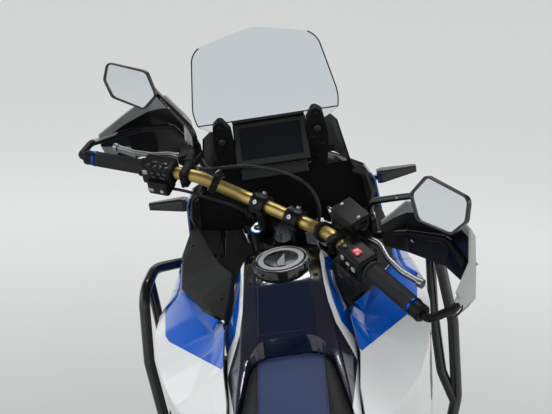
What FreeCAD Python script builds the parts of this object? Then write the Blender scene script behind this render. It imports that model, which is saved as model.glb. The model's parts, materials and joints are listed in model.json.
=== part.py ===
import FreeCAD, Part
import os
import Sketcher
from math import acos, asin, atan2, cos, degrees, hypot, pi, radians, sin, sqrt, tan
from FreeCAD import Placement, Rotation, Vector

# Adventure motorcycle, parked on its side stand with the handlebar turned to its right stop.
# It is drawn upright and straight: X forward, Y left, Z up, the rear axle over the origin.
# Then every piece is placed as the machine stands on the floor.

DOC = FreeCAD.newDocument("AdventureMotorcycle")

# Each row: name, millimetres or degrees, what it is
SIZE_TABLE = [
    ("wheelbase", 1575, "rear axle to front axle"),
    ("front_reach", 1575, "chassis datum to front axle, the datum over the rear axle"),
    ("front_axle_z", 348, ""),
    ("rear_axle_z", 334, ""),
    ("lean_angle", 12.5, "lean to the left on the side stand"),
    ("steering_lock", 41, "handlebar turned each way from straight"),
    ("rake_angle", 27.5, "steering axis from vertical"),
    ("axle_lead", 60.5, "front axle ahead of the steering axis"),
    ("slide_gap", 0.3, "faces of different bodies that pass each other"),
    ("pin_clearance", 0.05, "radial clearance of a shaft in its bore"),
    # wheels
    ("front_tyre_radius", 348, ""),
    ("front_tyre_width", 92, ""),
    ("front_tyre_height", 81, "tyre above its bead seat"),
    ("front_bead_width", 62, ""),
    ("rear_tyre_radius", 334, ""),
    ("rear_tyre_width", 150, ""),
    ("rear_tyre_height", 105, "tyre above its bead seat"),
    ("rear_bead_width", 108, ""),
    ("tread_thickness", 14, ""),
    ("tyre_wall", 8, ""),
    ("bead_height", 14, "straight part of a tyre wall beside the rim flange"),
    ("flange_height", 11, "rim flange above the bead seat"),
    ("flange_thickness", 5, ""),
    ("rim_wall", 5, ""),
    ("rim_well_depth", 16, "drop of the rim centre below the bead seat"),
    ("spokes_per_wheel", 36, ""),
    ("spoke_diameter", 3.6, ""),
    ("front_hub_radius", 26, ""),
    ("front_flange_radius", 44, ""),
    ("front_hub_width", 112, ""),
    ("front_flange_spread", 68, "between the spoke flanges of the front hub"),
    ("rear_hub_radius", 38, ""),
    ("rear_flange_radius", 62, ""),
    ("rear_flange_spread", 88, "between the spoke flanges of the rear hub"),
    ("hub_flange_thickness", 6, ""),
    ("front_disc_radius", 155, ""),
    ("rear_disc_radius", 128, ""),
    ("rear_disc_offset", 88, "rear disc from the wheel centre plane"),
    ("disc_thickness", 5, ""),
    ("disc_band", 34, "width of the braked ring"),
    ("disc_hole_radius", 4, ""),
    ("front_window_middle", 84, "round windows of a front disc from its centre"),
    ("front_window_radius", 26, ""),
    ("rear_window_middle", 66, ""),
    ("rear_window_radius", 20, ""),
    ("front_axle_radius", 12.5, ""),
    ("rear_axle_radius", 12.5, ""),
    # chain drive
    ("chain_pitch", 15.875, ""),
    ("chain_line", 93, "chain from the centre plane"),
    ("rear_teeth", 42, ""),
    ("front_teeth", 16, ""),
    ("chain_plate_height", 15, ""),
    ("chain_width", 18, "over the outer plates"),
    ("chain_gap", 9, "between the plates"),
    ("sprocket_thickness", 7, ""),
    ("drive_shaft_x", 602, "front sprocket ahead of the rear axle"),
    ("drive_shaft_z", 402, ""),
    # steering
    ("fork_spread", 210, "between the fork legs"),
    ("fork_offset", 32, "fork legs ahead of the steering axis"),
    ("fork_outer_radius", 28, "upper tubes"),
    ("fork_inner_radius", 22.5, "sliding tubes"),
    ("fork_seal_level", 335, "lower end of the upper tubes"),
    ("fork_top_level", 850, ""),
    ("axle_lug_top", 85, ""),
    ("axle_lug_bottom", -32, ""),
    ("axle_lug_radius", 30, ""),
    ("head_tube_radius", 32, ""),
    ("head_tube_bottom", 640, ""),
    ("head_tube_top", 800, ""),
    ("stem_radius", 17, ""),
    ("clamp_gap", 2, "between the head tube and the triple clamps"),
    ("upper_clamp_thickness", 28, ""),
    ("lower_clamp_thickness", 38, ""),
    ("clamp_ear_radius", 38, ""),
    ("bar_level", 921, "handlebar centre on the steering axis"),
    ("bar_radius", 14.3, ""),
    ("riser_spread", 94, "between the handlebar risers"),
    ("riser_radius", 17, ""),
    ("riser_cap_radius", 24, ""),
    ("bar_centre_half", 95, "straight middle of the bar, half"),
    ("bar_bend_out", 180, "outer bend from the centre plane"),
    ("bar_bend_back", 45, ""),
    ("bar_rise", 59, ""),
    ("bar_end_out", 445, ""),
    ("bar_end_back", 134, ""),
    ("bar_end_rise", 75, ""),
    ("grip_radius", 17, ""),
    ("grip_length", 120, ""),
    ("switch_start", 150, "switch housing from the tip of the bar"),
    ("switch_width", 76, ""),
    ("perch_start", 243, "lever perch from the tip of the bar"),
    ("perch_width", 20, ""),
    ("mirror_boss_ahead", 78, "mirror stem ahead of the bar"),
    ("guard_beam_radius", 8, ""),
    ("bar_weight_radius", 16.5, ""),
    ("bar_weight_length", 27, ""),
    ("fender_clearance", 20, "front fender above the tyre"),
    ("fender_wall", 3, ""),
    ("fender_half_width", 62, ""),
    ("fender_arc", 150, "degrees of wheel that the front fender covers"),
    # chassis
    ("spar_radius", 18, ""),
    ("cradle_radius", 15, ""),
    ("pivot_x", 530, "swingarm pivot"),
    ("pivot_z", 412, ""),
    ("pivot_radius", 11, ""),
    ("pivot_plate_inner", 106, "frame plates beside the swingarm from the centre plane"),
    ("frame_half_width", 130, "spars beside the engine"),
    ("subframe_radius", 13, ""),
    ("arm_inner", 108, "swingarm arms from the centre plane"),
    ("arm_width", 32, ""),
    ("arm_height", 66, ""),
    ("crash_bar_radius", 12.7, ""),
    ("seat_nose_x", 789, "front of the rider's seat"),
    ("rack_tube_radius", 9, ""),
    ("rack_middle_x", -160, "middle of the carrier's hole pattern"),
    ("rack_hole_spacing", 100, "square pattern of four holes"),
    ("rack_hole_radius", 4.25, ""),
    ("rack_level", 944, "top of the carrier plate"),
    # fuel tank and cap
    ("cap_x", 945, ""),
    ("cap_z", 1080, ""),
    ("cap_radius", 47, ""),
    ("cap_thickness", 9, ""),
    ("cap_tilt", 8, ""),
    ("cap_collar", 12, "metal ring round the cap"),
    ("cap_gap", 1.5, ""),
    ("neck_radius", 27, "filler neck under the cap"),
    ("neck_depth", 70, ""),
    # panels and screen
    ("panel_wall", 4, ""),
    ("screen_wall", 4, ""),
    ("display_width", 144, ""),
    ("display_height", 81, ""),
    ("display_bezel", 14, ""),
    ("display_depth", 34, ""),
    # side stand
    ("stand_pivot_x", 650, ""),
    ("stand_pivot_y", 156, ""),
    ("stand_pivot_z", 296, ""),
    ("stand_foot_x", 712, ""),
    ("stand_foot_y", 300, ""),
    ("stand_leg_radius", 13, ""),
    ("stand_foot_radius", 34, ""),
    ("stand_foot_thickness", 10, ""),
    ("stand_pin_radius", 7, ""),
]


class Size(float):
    """A number that also carries the sheet expression it comes from."""

    def __new__(cls, value, text):
        number = float.__new__(cls, value)
        number.text = text
        return number

    def __add__(self, other):
        return Size(float(self) + float(other), f"({self.text} + {worded(other)})")

    def __radd__(self, other):
        return Size(float(other) + float(self), f"({worded(other)} + {self.text})")

    def __sub__(self, other):
        return Size(float(self) - float(other), f"({self.text} - {worded(other)})")

    def __rsub__(self, other):
        return Size(float(other) - float(self), f"({worded(other)} - {self.text})")

    def __mul__(self, other):
        return Size(float(self) * float(other), f"({self.text} * {worded(other)})")

    def __rmul__(self, other):
        return Size(float(other) * float(self), f"({worded(other)} * {self.text})")

    def __truediv__(self, other):
        return Size(float(self) / float(other), f"({self.text} / {worded(other)})")

    def __neg__(self):
        return Size(-float(self), f"(-{self.text})")


def worded(number):
    return number.text if isinstance(number, Size) else f"{float(number):.9g}"


class Sizes:
    """The sheet's values by name."""


def fill_sheet():
    sheet = DOC.addObject("Spreadsheet::Sheet", "Sizes")
    for row, (name, value, note) in enumerate(SIZE_TABLE, start=1):
        sheet.set(f"A{row}", name)
        sheet.set(f"B{row}", str(value))
        sheet.set(f"C{row}", note)
        sheet.setAlias(f"B{row}", name)
    DOC.recompute()
    values = Sizes()
    for name, _, _ in SIZE_TABLE:
        setattr(values, name, Size(sheet.get(name), f"Sizes.{name}"))
    return values


S = fill_sheet()
NODES = []


def node(item, name, carrier, local=Placement()):
    """Enter a finished object as a piece of the motorcycle, with the body that carries it."""
    item.Label = name
    NODES.append((item, carrier, local))
    return item


def solid(name, carrier, shape):
    item = DOC.addObject("Part::Feature", name)
    item.Shape = shape
    return node(item, name, carrier, shape.Placement)


def bind(item, path, number):
    item.setExpression(path, worded(number))


# Sketched bodies

def new_body(name):
    return DOC.addObject("PartDesign::Body", name)


def sketch_on(body, role, name):
    plane = [part for part in body.Origin.OriginFeatures if part.Role == role][0]
    sketch = body.newObject("Sketcher::SketchObject", name)
    sketch.AttachmentSupport = [(plane, "")]
    sketch.MapMode = "FlatFace"
    return sketch


def hold(sketch, geometry, end, x, y):
    """Fix one point of a sketch element at sheet-driven distances from the sketch origin."""
    for kind, number in (("DistanceX", x), ("DistanceY", y)):
        index = sketch.addConstraint(Sketcher.Constraint(kind, -1, 1, geometry, end, float(number)))
        if isinstance(number, Size):
            sketch.setExpression(f"Constraints[{index}]", number.text)


def draw_outline(sketch, points):
    """Closed outline of (x, y) or (x, y, radius): a radius makes the edge that ends there an arc,
    turning left when it is positive and right when it is negative."""
    spots = [Vector(point[0], point[1], 0) for point in points]
    first = len(sketch.Geometry)
    ends = []
    for index, point in enumerate(points):
        start = spots[index - 1]
        finish = spots[index]
        bend = point[2] if len(point) > 2 else 0
        if not bend:
            sketch.addGeometry(Part.LineSegment(start, finish), False)
            ends.append((1, 2))
            continue
        chord = finish - start
        size = abs(float(bend))
        side = Vector(-chord.y, chord.x, 0).normalize()
        height = sqrt(max(size * size - chord.Length ** 2 / 4, 0))
        centre = (start + finish) / 2 + side * (height if bend > 0 else -height)
        near, far = (start, finish) if bend > 0 else (finish, start)
        turn_from = atan2(near.y - centre.y, near.x - centre.x)
        turn_to = atan2(far.y - centre.y, far.x - centre.x)
        circle = Part.Circle(centre, Vector(0, 0, 1), size)
        geometry = sketch.addGeometry(Part.ArcOfCircle(circle, turn_from, turn_to), False)
        index_of = sketch.addConstraint(Sketcher.Constraint("Radius", geometry, size))
        if isinstance(bend, Size):
            positive = bend if bend > 0 else -bend
            sketch.setExpression(f"Constraints[{index_of}]", positive.text)
        ends.append((1, 2) if bend > 0 else (2, 1))
    count = len(points)
    for index, point in enumerate(points):
        following = (index + 1) % count
        sketch.addConstraint(Sketcher.Constraint(
            "Coincident", first + index, ends[index][1], first + following, ends[following][0]))
        hold(sketch, first + index, ends[index][1], point[0], point[1])


def draw_circle(sketch, x, y, radius):
    circle = Part.Circle(Vector(x, y, 0), Vector(0, 0, 1), float(radius))
    geometry = sketch.addGeometry(circle, False)
    index = sketch.addConstraint(Sketcher.Constraint("Radius", geometry, float(radius)))
    if isinstance(radius, Size):
        sketch.setExpression(f"Constraints[{index}]", radius.text)
    hold(sketch, geometry, 3, x, y)


def spin(body, role, name, points, axis, angle=360):
    """Revolve an outline about the horizontal or vertical axis of its sketch."""
    sketch = sketch_on(body, role, name + "Outline")
    draw_outline(sketch, points)
    feature = body.newObject("PartDesign::Revolution", name)
    feature.Profile = sketch
    feature.ReferenceAxis = (sketch, [axis])
    bind(feature, "Angle", angle)
    feature.Midplane = True
    sketch.Visibility = False
    return feature


def pad(body, role, name, outlines, length, circles=(), midplane=True, level=0):
    sketch = sketch_on(body, role, name + "Outline")
    for points in outlines:
        draw_outline(sketch, points)
    for x, y, radius in circles:
        draw_circle(sketch, x, y, radius)
    if level:
        bind(sketch, "AttachmentOffset.Base.z", level)
    feature = body.newObject("PartDesign::Pad", name)
    feature.Profile = sketch
    bind(feature, "Length", length)
    feature.SideType = "Symmetric" if midplane else "One side"
    return feature


def pocket(body, role, name, outlines=(), circles=()):
    """Cut right through, both ways."""
    sketch = sketch_on(body, role, name + "Outline")
    for points in outlines:
        draw_outline(sketch, points)
    for x, y, radius in circles:
        draw_circle(sketch, x, y, radius)
    feature = body.newObject("PartDesign::Pocket", name)
    feature.Profile = sketch
    feature.Type = "ThroughAll"
    feature.SideType = "Symmetric"
    return feature


def around(body, feature, name, count):
    """Repeat a feature round the normal of its own sketch."""
    sketch = feature.Profile[0]
    pattern = body.newObject("PartDesign::PolarPattern", name)
    pattern.Originals = [feature]
    pattern.Axis = (sketch, ["N_Axis"])
    pattern.Angle = 360
    bind(pattern, "Occurrences", count)
    body.Tip = pattern
    return pattern


# Shapes of bent tube, lofted skin and the like

def route(points, bend):
    """Straight runs joined by tangent arcs, each arc as large as its two runs allow."""
    edges = []
    start = points[0]
    for before, corner, after in zip(points, points[1:], points[2:]):
        into = (corner - before).normalize()
        out = (after - corner).normalize()
        half_turn = into.getAngle(out) / 2
        if half_turn < radians(0.5):
            continue
        shorter = min(corner.distanceToPoint(before), corner.distanceToPoint(after))
        radius = min(float(bend), 0.45 * shorter / tan(half_turn))
        reach = radius * tan(half_turn)
        first = corner - into * reach
        last = corner + out * reach
        middle = corner + (out - into).normalize() * (radius / cos(half_turn) - radius)
        edges.append(Part.LineSegment(start, first).toShape())
        edges.append(Part.Arc(first, middle, last).toShape())
        start = last
    edges.append(Part.LineSegment(start, points[-1]).toShape())
    return Part.Wire(edges)


def tube(points, radius, bend):
    spots = [Vector(*point) for point in points]
    path = route(spots, bend)
    ring = Part.Wire(Part.makeCircle(float(radius), spots[0], spots[1] - spots[0]))
    return path.makePipeShell([ring], True, False)


def rod(start, end, radius):
    start = Vector(*start)
    end = Vector(*end)
    return Part.makeCylinder(float(radius), start.distanceToPoint(end), start, end - start)


def block(x, y, z):
    """A box from three (low, high) pairs."""
    return Part.makeBox(x[1] - x[0], y[1] - y[0], z[1] - z[0], Vector(x[0], y[0], z[0]))


def ring_of(corners):
    """Closed wire through corners of (vector, corner radius)."""
    edges = []
    cuts = []
    count = len(corners)
    for index, (corner, radius) in enumerate(corners):
        before = corners[index - 1][0]
        after = corners[(index + 1) % count][0]
        into = (corner - before).normalize()
        out = (after - corner).normalize()
        half_turn = into.getAngle(out) / 2
        if not radius or half_turn < radians(0.5):
            cuts.append((corner, None, corner))
            continue
        reach = radius * tan(half_turn)
        middle = corner + (out - into).normalize() * (radius / cos(half_turn) - radius)
        cuts.append((corner - into * reach, middle, corner + out * reach))
    for index, (first, middle, last) in enumerate(cuts):
        if middle is not None:
            edges.append(Part.Arc(first, middle, last).toShape())
        following = cuts[(index + 1) % count][0]
        edges.append(Part.LineSegment(last, following).toShape())
    return Part.Wire(edges)


def loft_along_x(stations, ruled=True):
    """Loft through sections of (x, half outline), each half outline of (y, z, corner radius)
    from the bottom centre round the left side to the top centre, and mirrored."""
    wires = []
    for x, half in stations:
        right = [(Vector(x, -y, z), radius) for y, z, radius in reversed(half) if y > 0]
        left = [(Vector(x, y, z), radius) for y, z, radius in half if y > 0]
        wires.append(ring_of(left + right))
    return Part.makeLoft(wires, True, ruled)


def offset_line(points, wall):
    """The inner line of a wall whose outer line runs through the given (a, b) points."""
    normals = []
    for (a, b), (c, d) in zip(points, points[1:]):
        run = hypot(c - a, d - b)
        normals.append(((d - b) / run, (a - c) / run))
    inner = []
    for index, (a, b) in enumerate(points):
        first = normals[max(index - 1, 0)]
        second = normals[min(index, len(normals) - 1)]
        share = wall / (1 + first[0] * second[0] + first[1] * second[1])
        inner.append((a + share * (first[0] + second[0]), b + share * (first[1] + second[1])))
    return inner


def skin_along_x(stations, wall, ruled=True):
    """A panel of even wall: stations of (x, outer line of (y, z)), the wall to the right of the line."""
    wires = []
    for x, line in stations:
        inner = offset_line(line, float(wall))
        spots = [Vector(x, y, z) for y, z in list(line) + inner[::-1]]
        wires.append(Part.makePolygon(spots + spots[:1]))
    return Part.makeLoft(wires, True, ruled)


def mirrored(shape):
    return shape.mirror(Vector(0, 0, 0), Vector(0, 1, 0))


def pair(shape):
    return Part.makeCompound([shape, mirrored(shape)])


def fused(*shapes):
    result = shapes[0].fuse(list(shapes[1:]))
    return result.removeSplitter()


# Where the bodies stand

def stance():
    """The upright machine laid over on its side stand, both tyres on the floor."""
    lean = Rotation(Vector(1, 0, 0), -S.lean_angle)
    pitch = 0.0
    front_ring = S.front_tyre_radius - S.front_tyre_width / 2
    rear_ring = S.rear_tyre_radius - S.rear_tyre_width / 2
    for _ in range(20):
        turn = lean.multiply(Rotation(Vector(0, 1, 0), pitch))
        front_place = Placement(Vector(), turn).multiply(FRONT_WHEEL)
        front_axis = front_place.Rotation.multVec(Vector(0, 1, 0))
        rear_axis = turn.multVec(Vector(0, 1, 0))
        rear_centre = turn.multVec(REAR_WHEEL.Base)
        front_low = front_place.Base.z - front_ring * sqrt(1 - front_axis.z ** 2) - S.front_tyre_width / 2
        rear_low = rear_centre.z - rear_ring * sqrt(1 - rear_axis.z ** 2) - S.rear_tyre_width / 2
        pitch += degrees(atan2(front_low - rear_low, S.wheelbase))
    return Placement(Vector(0, 0, -rear_low), turn)


# The chassis ahead of the swingarm pivot keeps its place behind the front axle.
CHASSIS = Placement(Vector(S.wheelbase - S.front_reach, 0, 0), Rotation())
HEAD = Placement(
    Vector(S.front_reach - S.axle_lead * cos(radians(S.rake_angle)), 0,
           S.front_axle_z - S.axle_lead * sin(radians(S.rake_angle))),
    Rotation(Vector(0, 1, 0), -S.rake_angle))
STEERING = CHASSIS.multiply(HEAD).multiply(Placement(Vector(), Rotation(Vector(0, 0, 1), -S.steering_lock)))
FRONT_WHEEL = STEERING.multiply(Placement(Vector(S.axle_lead, 0, 0), Rotation()))
REAR_WHEEL = Placement(Vector(0, 0, S.rear_axle_z), Rotation())
CAP = Placement(Vector(S.cap_x, 0, S.cap_z), Rotation(Vector(0, 1, 0), -S.cap_tilt))
STANCE = stance()
CARRIERS = {
    "frame": ("frame", CHASSIS),
    "rear": ("frame", Placement()),
    "steering": ("steering", STEERING),
    "front_wheel": ("front_wheel", FRONT_WHEEL),
    "rear_wheel": ("rear_wheel", REAR_WHEEL),
    "fuel_cap": ("fuel_cap", CHASSIS.multiply(CAP)),
    "side_stand": ("side_stand", CHASSIS),
}


def ground_height(x, y):
    """Floor level under a point of the upright machine, as its Z before it is laid over."""
    laid = STANCE.multiply(CHASSIS).inverse()
    up = laid.Rotation.multVec(Vector(0, 0, 1))
    spot = laid.Base
    return spot.z - ((x - spot.x) * up.x + (y - spot.y) * up.y) / up.z


def both_sides(item, name, carrier):
    """The piece and its mirror image on the other side of the machine, as one node."""
    twin = DOC.addObject("Part::Mirroring", name + "Twin")
    twin.Source = item
    twin.Normal = Vector(0, 1, 0)
    both = DOC.addObject("Part::Compound", name)
    both.Links = [item, twin]
    return node(both, name, carrier)


# Wheels

def make_tyre(name, carrier, radius, width, bead_radius, bead_width):
    body = new_body(name)
    half = width / 2
    ring = radius - half
    wall_top = bead_radius + S.bead_height
    bead = bead_width / 2
    inner = half - S.tyre_wall
    side_bend = (ring - wall_top) * 1.3
    spin(body, "XY_Plane", "Carcass", [
        (bead_radius, -bead),
        (wall_top, -bead),
        (ring, -half, -side_bend),
        (radius, 0, half),
        (ring, half, half),
        (wall_top, bead, -side_bend),
        (bead_radius, bead),
        (bead_radius, bead - S.tyre_wall),
        (wall_top, bead - S.tyre_wall),
        (ring, inner),
        (radius - S.tread_thickness, 0),
        (ring, -inner),
        (wall_top, -bead + S.tyre_wall),
        (bead_radius, -bead + S.tyre_wall),
    ], "V_Axis")
    return node(body, name, carrier)


def make_rim(name, carrier, bead_radius, bead_width):
    body = new_body(name)
    bead = bead_width / 2
    edge = bead + S.flange_thickness
    top = bead_radius + S.flange_height
    well = bead_radius - S.rim_well_depth
    under = bead_radius - S.rim_wall
    shelf = bead - S.tyre_wall * 1.5
    spin(body, "XY_Plane", "Section", [
        (under, -edge),
        (top, -edge),
        (top, -bead),
        (bead_radius, -bead),
        (bead_radius, -shelf),
        (well, -shelf / 2),
        (well, shelf / 2),
        (bead_radius, shelf),
        (bead_radius, bead),
        (top, bead),
        (top, edge),
        (under, edge),
        (under, shelf),
        (well - S.rim_wall, shelf / 2),
        (well - S.rim_wall, -shelf / 2),
        (under, -shelf),
    ], "V_Axis")
    return node(body, name, carrier)


def make_hub(name, carrier, axle_radius, hub_radius, flange_radius, spread, right_end, left_end):
    body = new_body(name)
    bore = axle_radius + S.pin_clearance
    inner = spread / 2 - S.hub_flange_thickness / 2
    outer = spread / 2 + S.hub_flange_thickness / 2
    spin(body, "XY_Plane", "Barrel", [
        (bore, -right_end),
        (hub_radius, -right_end),
        (hub_radius, -outer),
        (flange_radius, -outer),
        (flange_radius, -inner),
        (hub_radius, -inner),
        (hub_radius, inner),
        (flange_radius, inner),
        (flange_radius, outer),
        (hub_radius, outer),
        (hub_radius, left_end),
        (bore, left_end),
    ], "V_Axis")
    return node(body, name, carrier)


def make_spokes(name, carrier, flange_radius, spread, bead_radius):
    """Crossed spokes from both hub flanges to the rim well, alternately left and right."""
    count = int(S.spokes_per_wheel)
    rim_radius = bead_radius - S.rim_well_depth - S.rim_wall - S.slide_gap
    start_radius = flange_radius + S.slide_gap + S.spoke_diameter / 2
    lead = radians(48)
    spokes = []
    for index in range(count):
        side = 1 if index % 2 else -1
        hand = 1 if (index // 2) % 2 else -1
        angle = 2 * pi * index / count
        swing = angle - hand * lead
        shift = side * S.spoke_diameter * 1.2 * hand
        start = Vector(start_radius * cos(swing), side * spread / 2 + shift, start_radius * sin(swing))
        end = Vector(rim_radius * cos(angle), side * 9 + shift / 3, rim_radius * sin(angle))
        along = (end - start).normalize()
        spokes.append(rod(start, end - along * S.spoke_diameter / 2, S.spoke_diameter / 2))
    return solid(name, carrier, Part.makeCompound(spokes))


def make_disc(name, radius, bore, window_middle, window_radius, windows, holes):
    """A brake disc with round windows inside the braked ring and cooling holes through it."""
    body = new_body(name)
    pad(body, "XZ_Plane", "Plate", [], S.disc_thickness, [(0, 0, radius), (0, 0, bore)])
    window = pocket(body, "XZ_Plane", "Window", [], [(window_middle, 0, window_radius)])
    around(body, window, "Windows", windows)
    hole = pocket(body, "XZ_Plane", "Hole", [], [(radius - S.disc_band / 2, 0, S.disc_hole_radius)])
    around(body, hole, "Holes", holes)
    return body


def make_front_wheel():
    carrier = "front_wheel"
    half_hub = S.front_hub_width / 2
    bead_radius = S.front_tyre_radius - S.front_tyre_height
    make_tyre("front_tyre", carrier, S.front_tyre_radius, S.front_tyre_width, bead_radius,
              S.front_bead_width)
    make_rim("front_rim", carrier, bead_radius, S.front_bead_width)
    make_hub("front_hub", carrier, S.front_axle_radius, S.front_hub_radius,
             S.front_flange_radius, S.front_flange_spread, half_hub, half_hub)
    make_spokes("front_spokes", carrier, S.front_flange_radius, S.front_flange_spread, bead_radius)
    disc = make_disc("front_disc", S.front_disc_radius, S.front_axle_radius + 9,
                     S.front_window_middle, S.front_window_radius, 8, 20)
    bind(disc, "Placement.Base.y", half_hub + S.disc_thickness / 2)
    both_sides(disc, "front_discs", carrier)


def pitch_radius(teeth):
    return S.chain_pitch / (2 * sin(pi / teeth))


def make_sprocket(name, teeth, bore, thickness):
    body = new_body(name)
    radius = pitch_radius(teeth)
    pad(body, "XZ_Plane", "Plate", [], thickness, [(0, 0, radius + S.chain_pitch / 4), (0, 0, bore)])
    notch = pocket(body, "XZ_Plane", "Notch", [], [(radius, 0, S.chain_pitch / 3)])
    around(body, notch, "Notches", teeth)
    return body


def make_rear_wheel():
    carrier = "rear_wheel"
    left_end = S.chain_line - S.sprocket_thickness / 2
    right_end = S.rear_disc_offset - S.disc_thickness / 2
    bead_radius = S.rear_tyre_radius - S.rear_tyre_height
    make_tyre("rear_tyre", carrier, S.rear_tyre_radius, S.rear_tyre_width, bead_radius, S.rear_bead_width)
    make_rim("rear_rim", carrier, bead_radius, S.rear_bead_width)
    make_hub("rear_hub", carrier, S.rear_axle_radius, S.rear_hub_radius,
             S.rear_flange_radius, S.rear_flange_spread, right_end, left_end)
    make_spokes("rear_spokes", carrier, S.rear_flange_radius, S.rear_flange_spread, bead_radius)
    disc = make_disc("rear_disc", S.rear_disc_radius, S.rear_axle_radius + 9,
                     S.rear_window_middle, S.rear_window_radius, 7, 18)
    node(disc, "rear_disc", carrier, Placement(Vector(0, -S.rear_disc_offset, 0), Rotation()))
    sprocket = make_sprocket("rear_sprocket", S.rear_teeth, S.rear_axle_radius + 9, S.sprocket_thickness)
    window = pocket(sprocket, "XZ_Plane", "Window", [], [(68, 0, 17)])
    around(sprocket, window, "Windows", 8)
    node(sprocket, "rear_sprocket", carrier, Placement(Vector(0, S.chain_line, 0), Rotation()))


# Chain drive

def belt_outline(offset):
    """Closed line round both sprockets, at a distance outside their pitch circles, in XZ."""
    rear = Vector(0, 0, S.rear_axle_z)
    front = Vector(S.drive_shaft_x + CHASSIS.Base.x, 0, S.drive_shaft_z)
    big = pitch_radius(S.rear_teeth) + offset
    small = pitch_radius(S.front_teeth) + offset
    span = front - rear
    slope = atan2(span.z, span.x)
    spread = acos((big - small) / span.Length)
    spots = {}
    for side, angle in (("top", slope + spread), ("bottom", slope - spread)):
        out = Vector(cos(angle), 0, sin(angle))
        spots[side] = (rear + out * big, front + out * small)
    back = Vector(-cos(slope), 0, -sin(slope))
    edges = [
        Part.LineSegment(spots["top"][0], spots["top"][1]).toShape(),
        Part.Arc(spots["top"][1], front - back * small, spots["bottom"][1]).toShape(),
        Part.LineSegment(spots["bottom"][1], spots["bottom"][0]).toShape(),
        Part.Arc(spots["bottom"][0], rear + back * big, spots["top"][0]).toShape(),
    ]
    return Part.Wire(edges), spots


def make_chain():
    half_plate = S.chain_plate_height / 2
    outer, _ = belt_outline(half_plate)
    inner, _ = belt_outline(-half_plate)
    _, spots = belt_outline(0)
    plate_wall = (S.chain_width - S.chain_gap) / 2
    band = Part.Face(outer).cut(Part.Face(inner))
    pieces = []
    for near in (S.chain_line - S.chain_width / 2, S.chain_line + S.chain_gap / 2):
        row = band.extrude(Vector(0, plate_wall, 0))
        row.translate(Vector(0, near, 0))
        pieces.append(row)
    for rear_end, front_end in spots.values():
        run = front_end - rear_end
        count = int(run.Length // S.chain_pitch)
        for index in range(5, count - 3, 2):
            spot = rear_end + run * (index / count)
            low = Vector(spot.x, S.chain_line - S.chain_gap / 2, spot.z)
            pieces.append(Part.makeCylinder(S.chain_pitch / 3.2, float(S.chain_gap), low, Vector(0, 1, 0)))
    solid("chain", "rear", Part.makeCompound(pieces))
    sprocket = make_sprocket("front_sprocket", S.front_teeth, S.front_axle_radius, S.sprocket_thickness)
    node(sprocket, "front_sprocket", "frame",
         Placement(Vector(S.drive_shaft_x, S.chain_line, S.drive_shaft_z), Rotation()))


# Steering

def bar_points():
    return [
        (0, 0, S.bar_level),
        (0, S.bar_centre_half, S.bar_level),
        (-S.bar_bend_back, S.bar_bend_out, S.bar_level + S.bar_rise),
        (-S.bar_end_back, S.bar_end_out, S.bar_level + S.bar_end_rise),
    ]


def grip_spot(from_end):
    """A point on the left grip's axis, at a distance inward from the bar end."""
    points = [Vector(*point) for point in bar_points()]
    along = (points[3] - points[2]).normalize()
    return points[3] - along * from_end, along


def make_handlebar():
    half = bar_points()
    end, along = grip_spot(S.bar_weight_length)
    half[-1] = tuple(end)
    other = [(x, -y, z) for x, y, z in half[:0:-1]]
    solid("handlebar", "steering", tube(other + half[1:], S.bar_radius, 60))
    near, _ = grip_spot(S.bar_weight_length + S.slide_gap + S.grip_length)
    sleeve = Part.makeCylinder(S.grip_radius, float(S.grip_length), near, along)
    bore = Part.makeCylinder(S.bar_radius + S.pin_clearance, float(S.grip_length), near, along)
    flange = Part.makeCylinder(S.grip_radius + 4, 6, near, along)
    solid("grips", "steering", pair(sleeve.fuse(flange).cut(bore)))


def bar_placement(from_end):
    """Frame on the left grip line: X forward, Y outward along the bar, Z up."""
    spot, along = grip_spot(from_end)
    forward = along.cross(Vector(0, 0, 1)).normalize()
    return Placement(spot, Rotation(forward, along, Vector(), "XYZ"))


def rounded_block(x, y, z, radius):
    box = block(x, y, z)
    return box.makeFillet(radius, box.Edges)


def make_switchgear():
    """Switch housings clamped round the bar, each with a lower lobe towards the thumb."""
    width = float(S.switch_width)
    housing = rounded_block((-25, 24), (0, width), (-27, 25), 7)
    lobe = rounded_block((-37, 6), (8, width - 16), (-45, -8), 7)
    nose = rounded_block((8, 36), (14, width - 22), (-14, 14), 5)
    bore = rod((0, -10, 0), (0, width + 10, 0), S.bar_radius + S.pin_clearance)
    shape = fused(housing, lobe, nose).cut(bore)
    shape.Placement = bar_placement(S.switch_start + S.switch_width)
    solid("switchgear", "steering", pair(shape))


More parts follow.
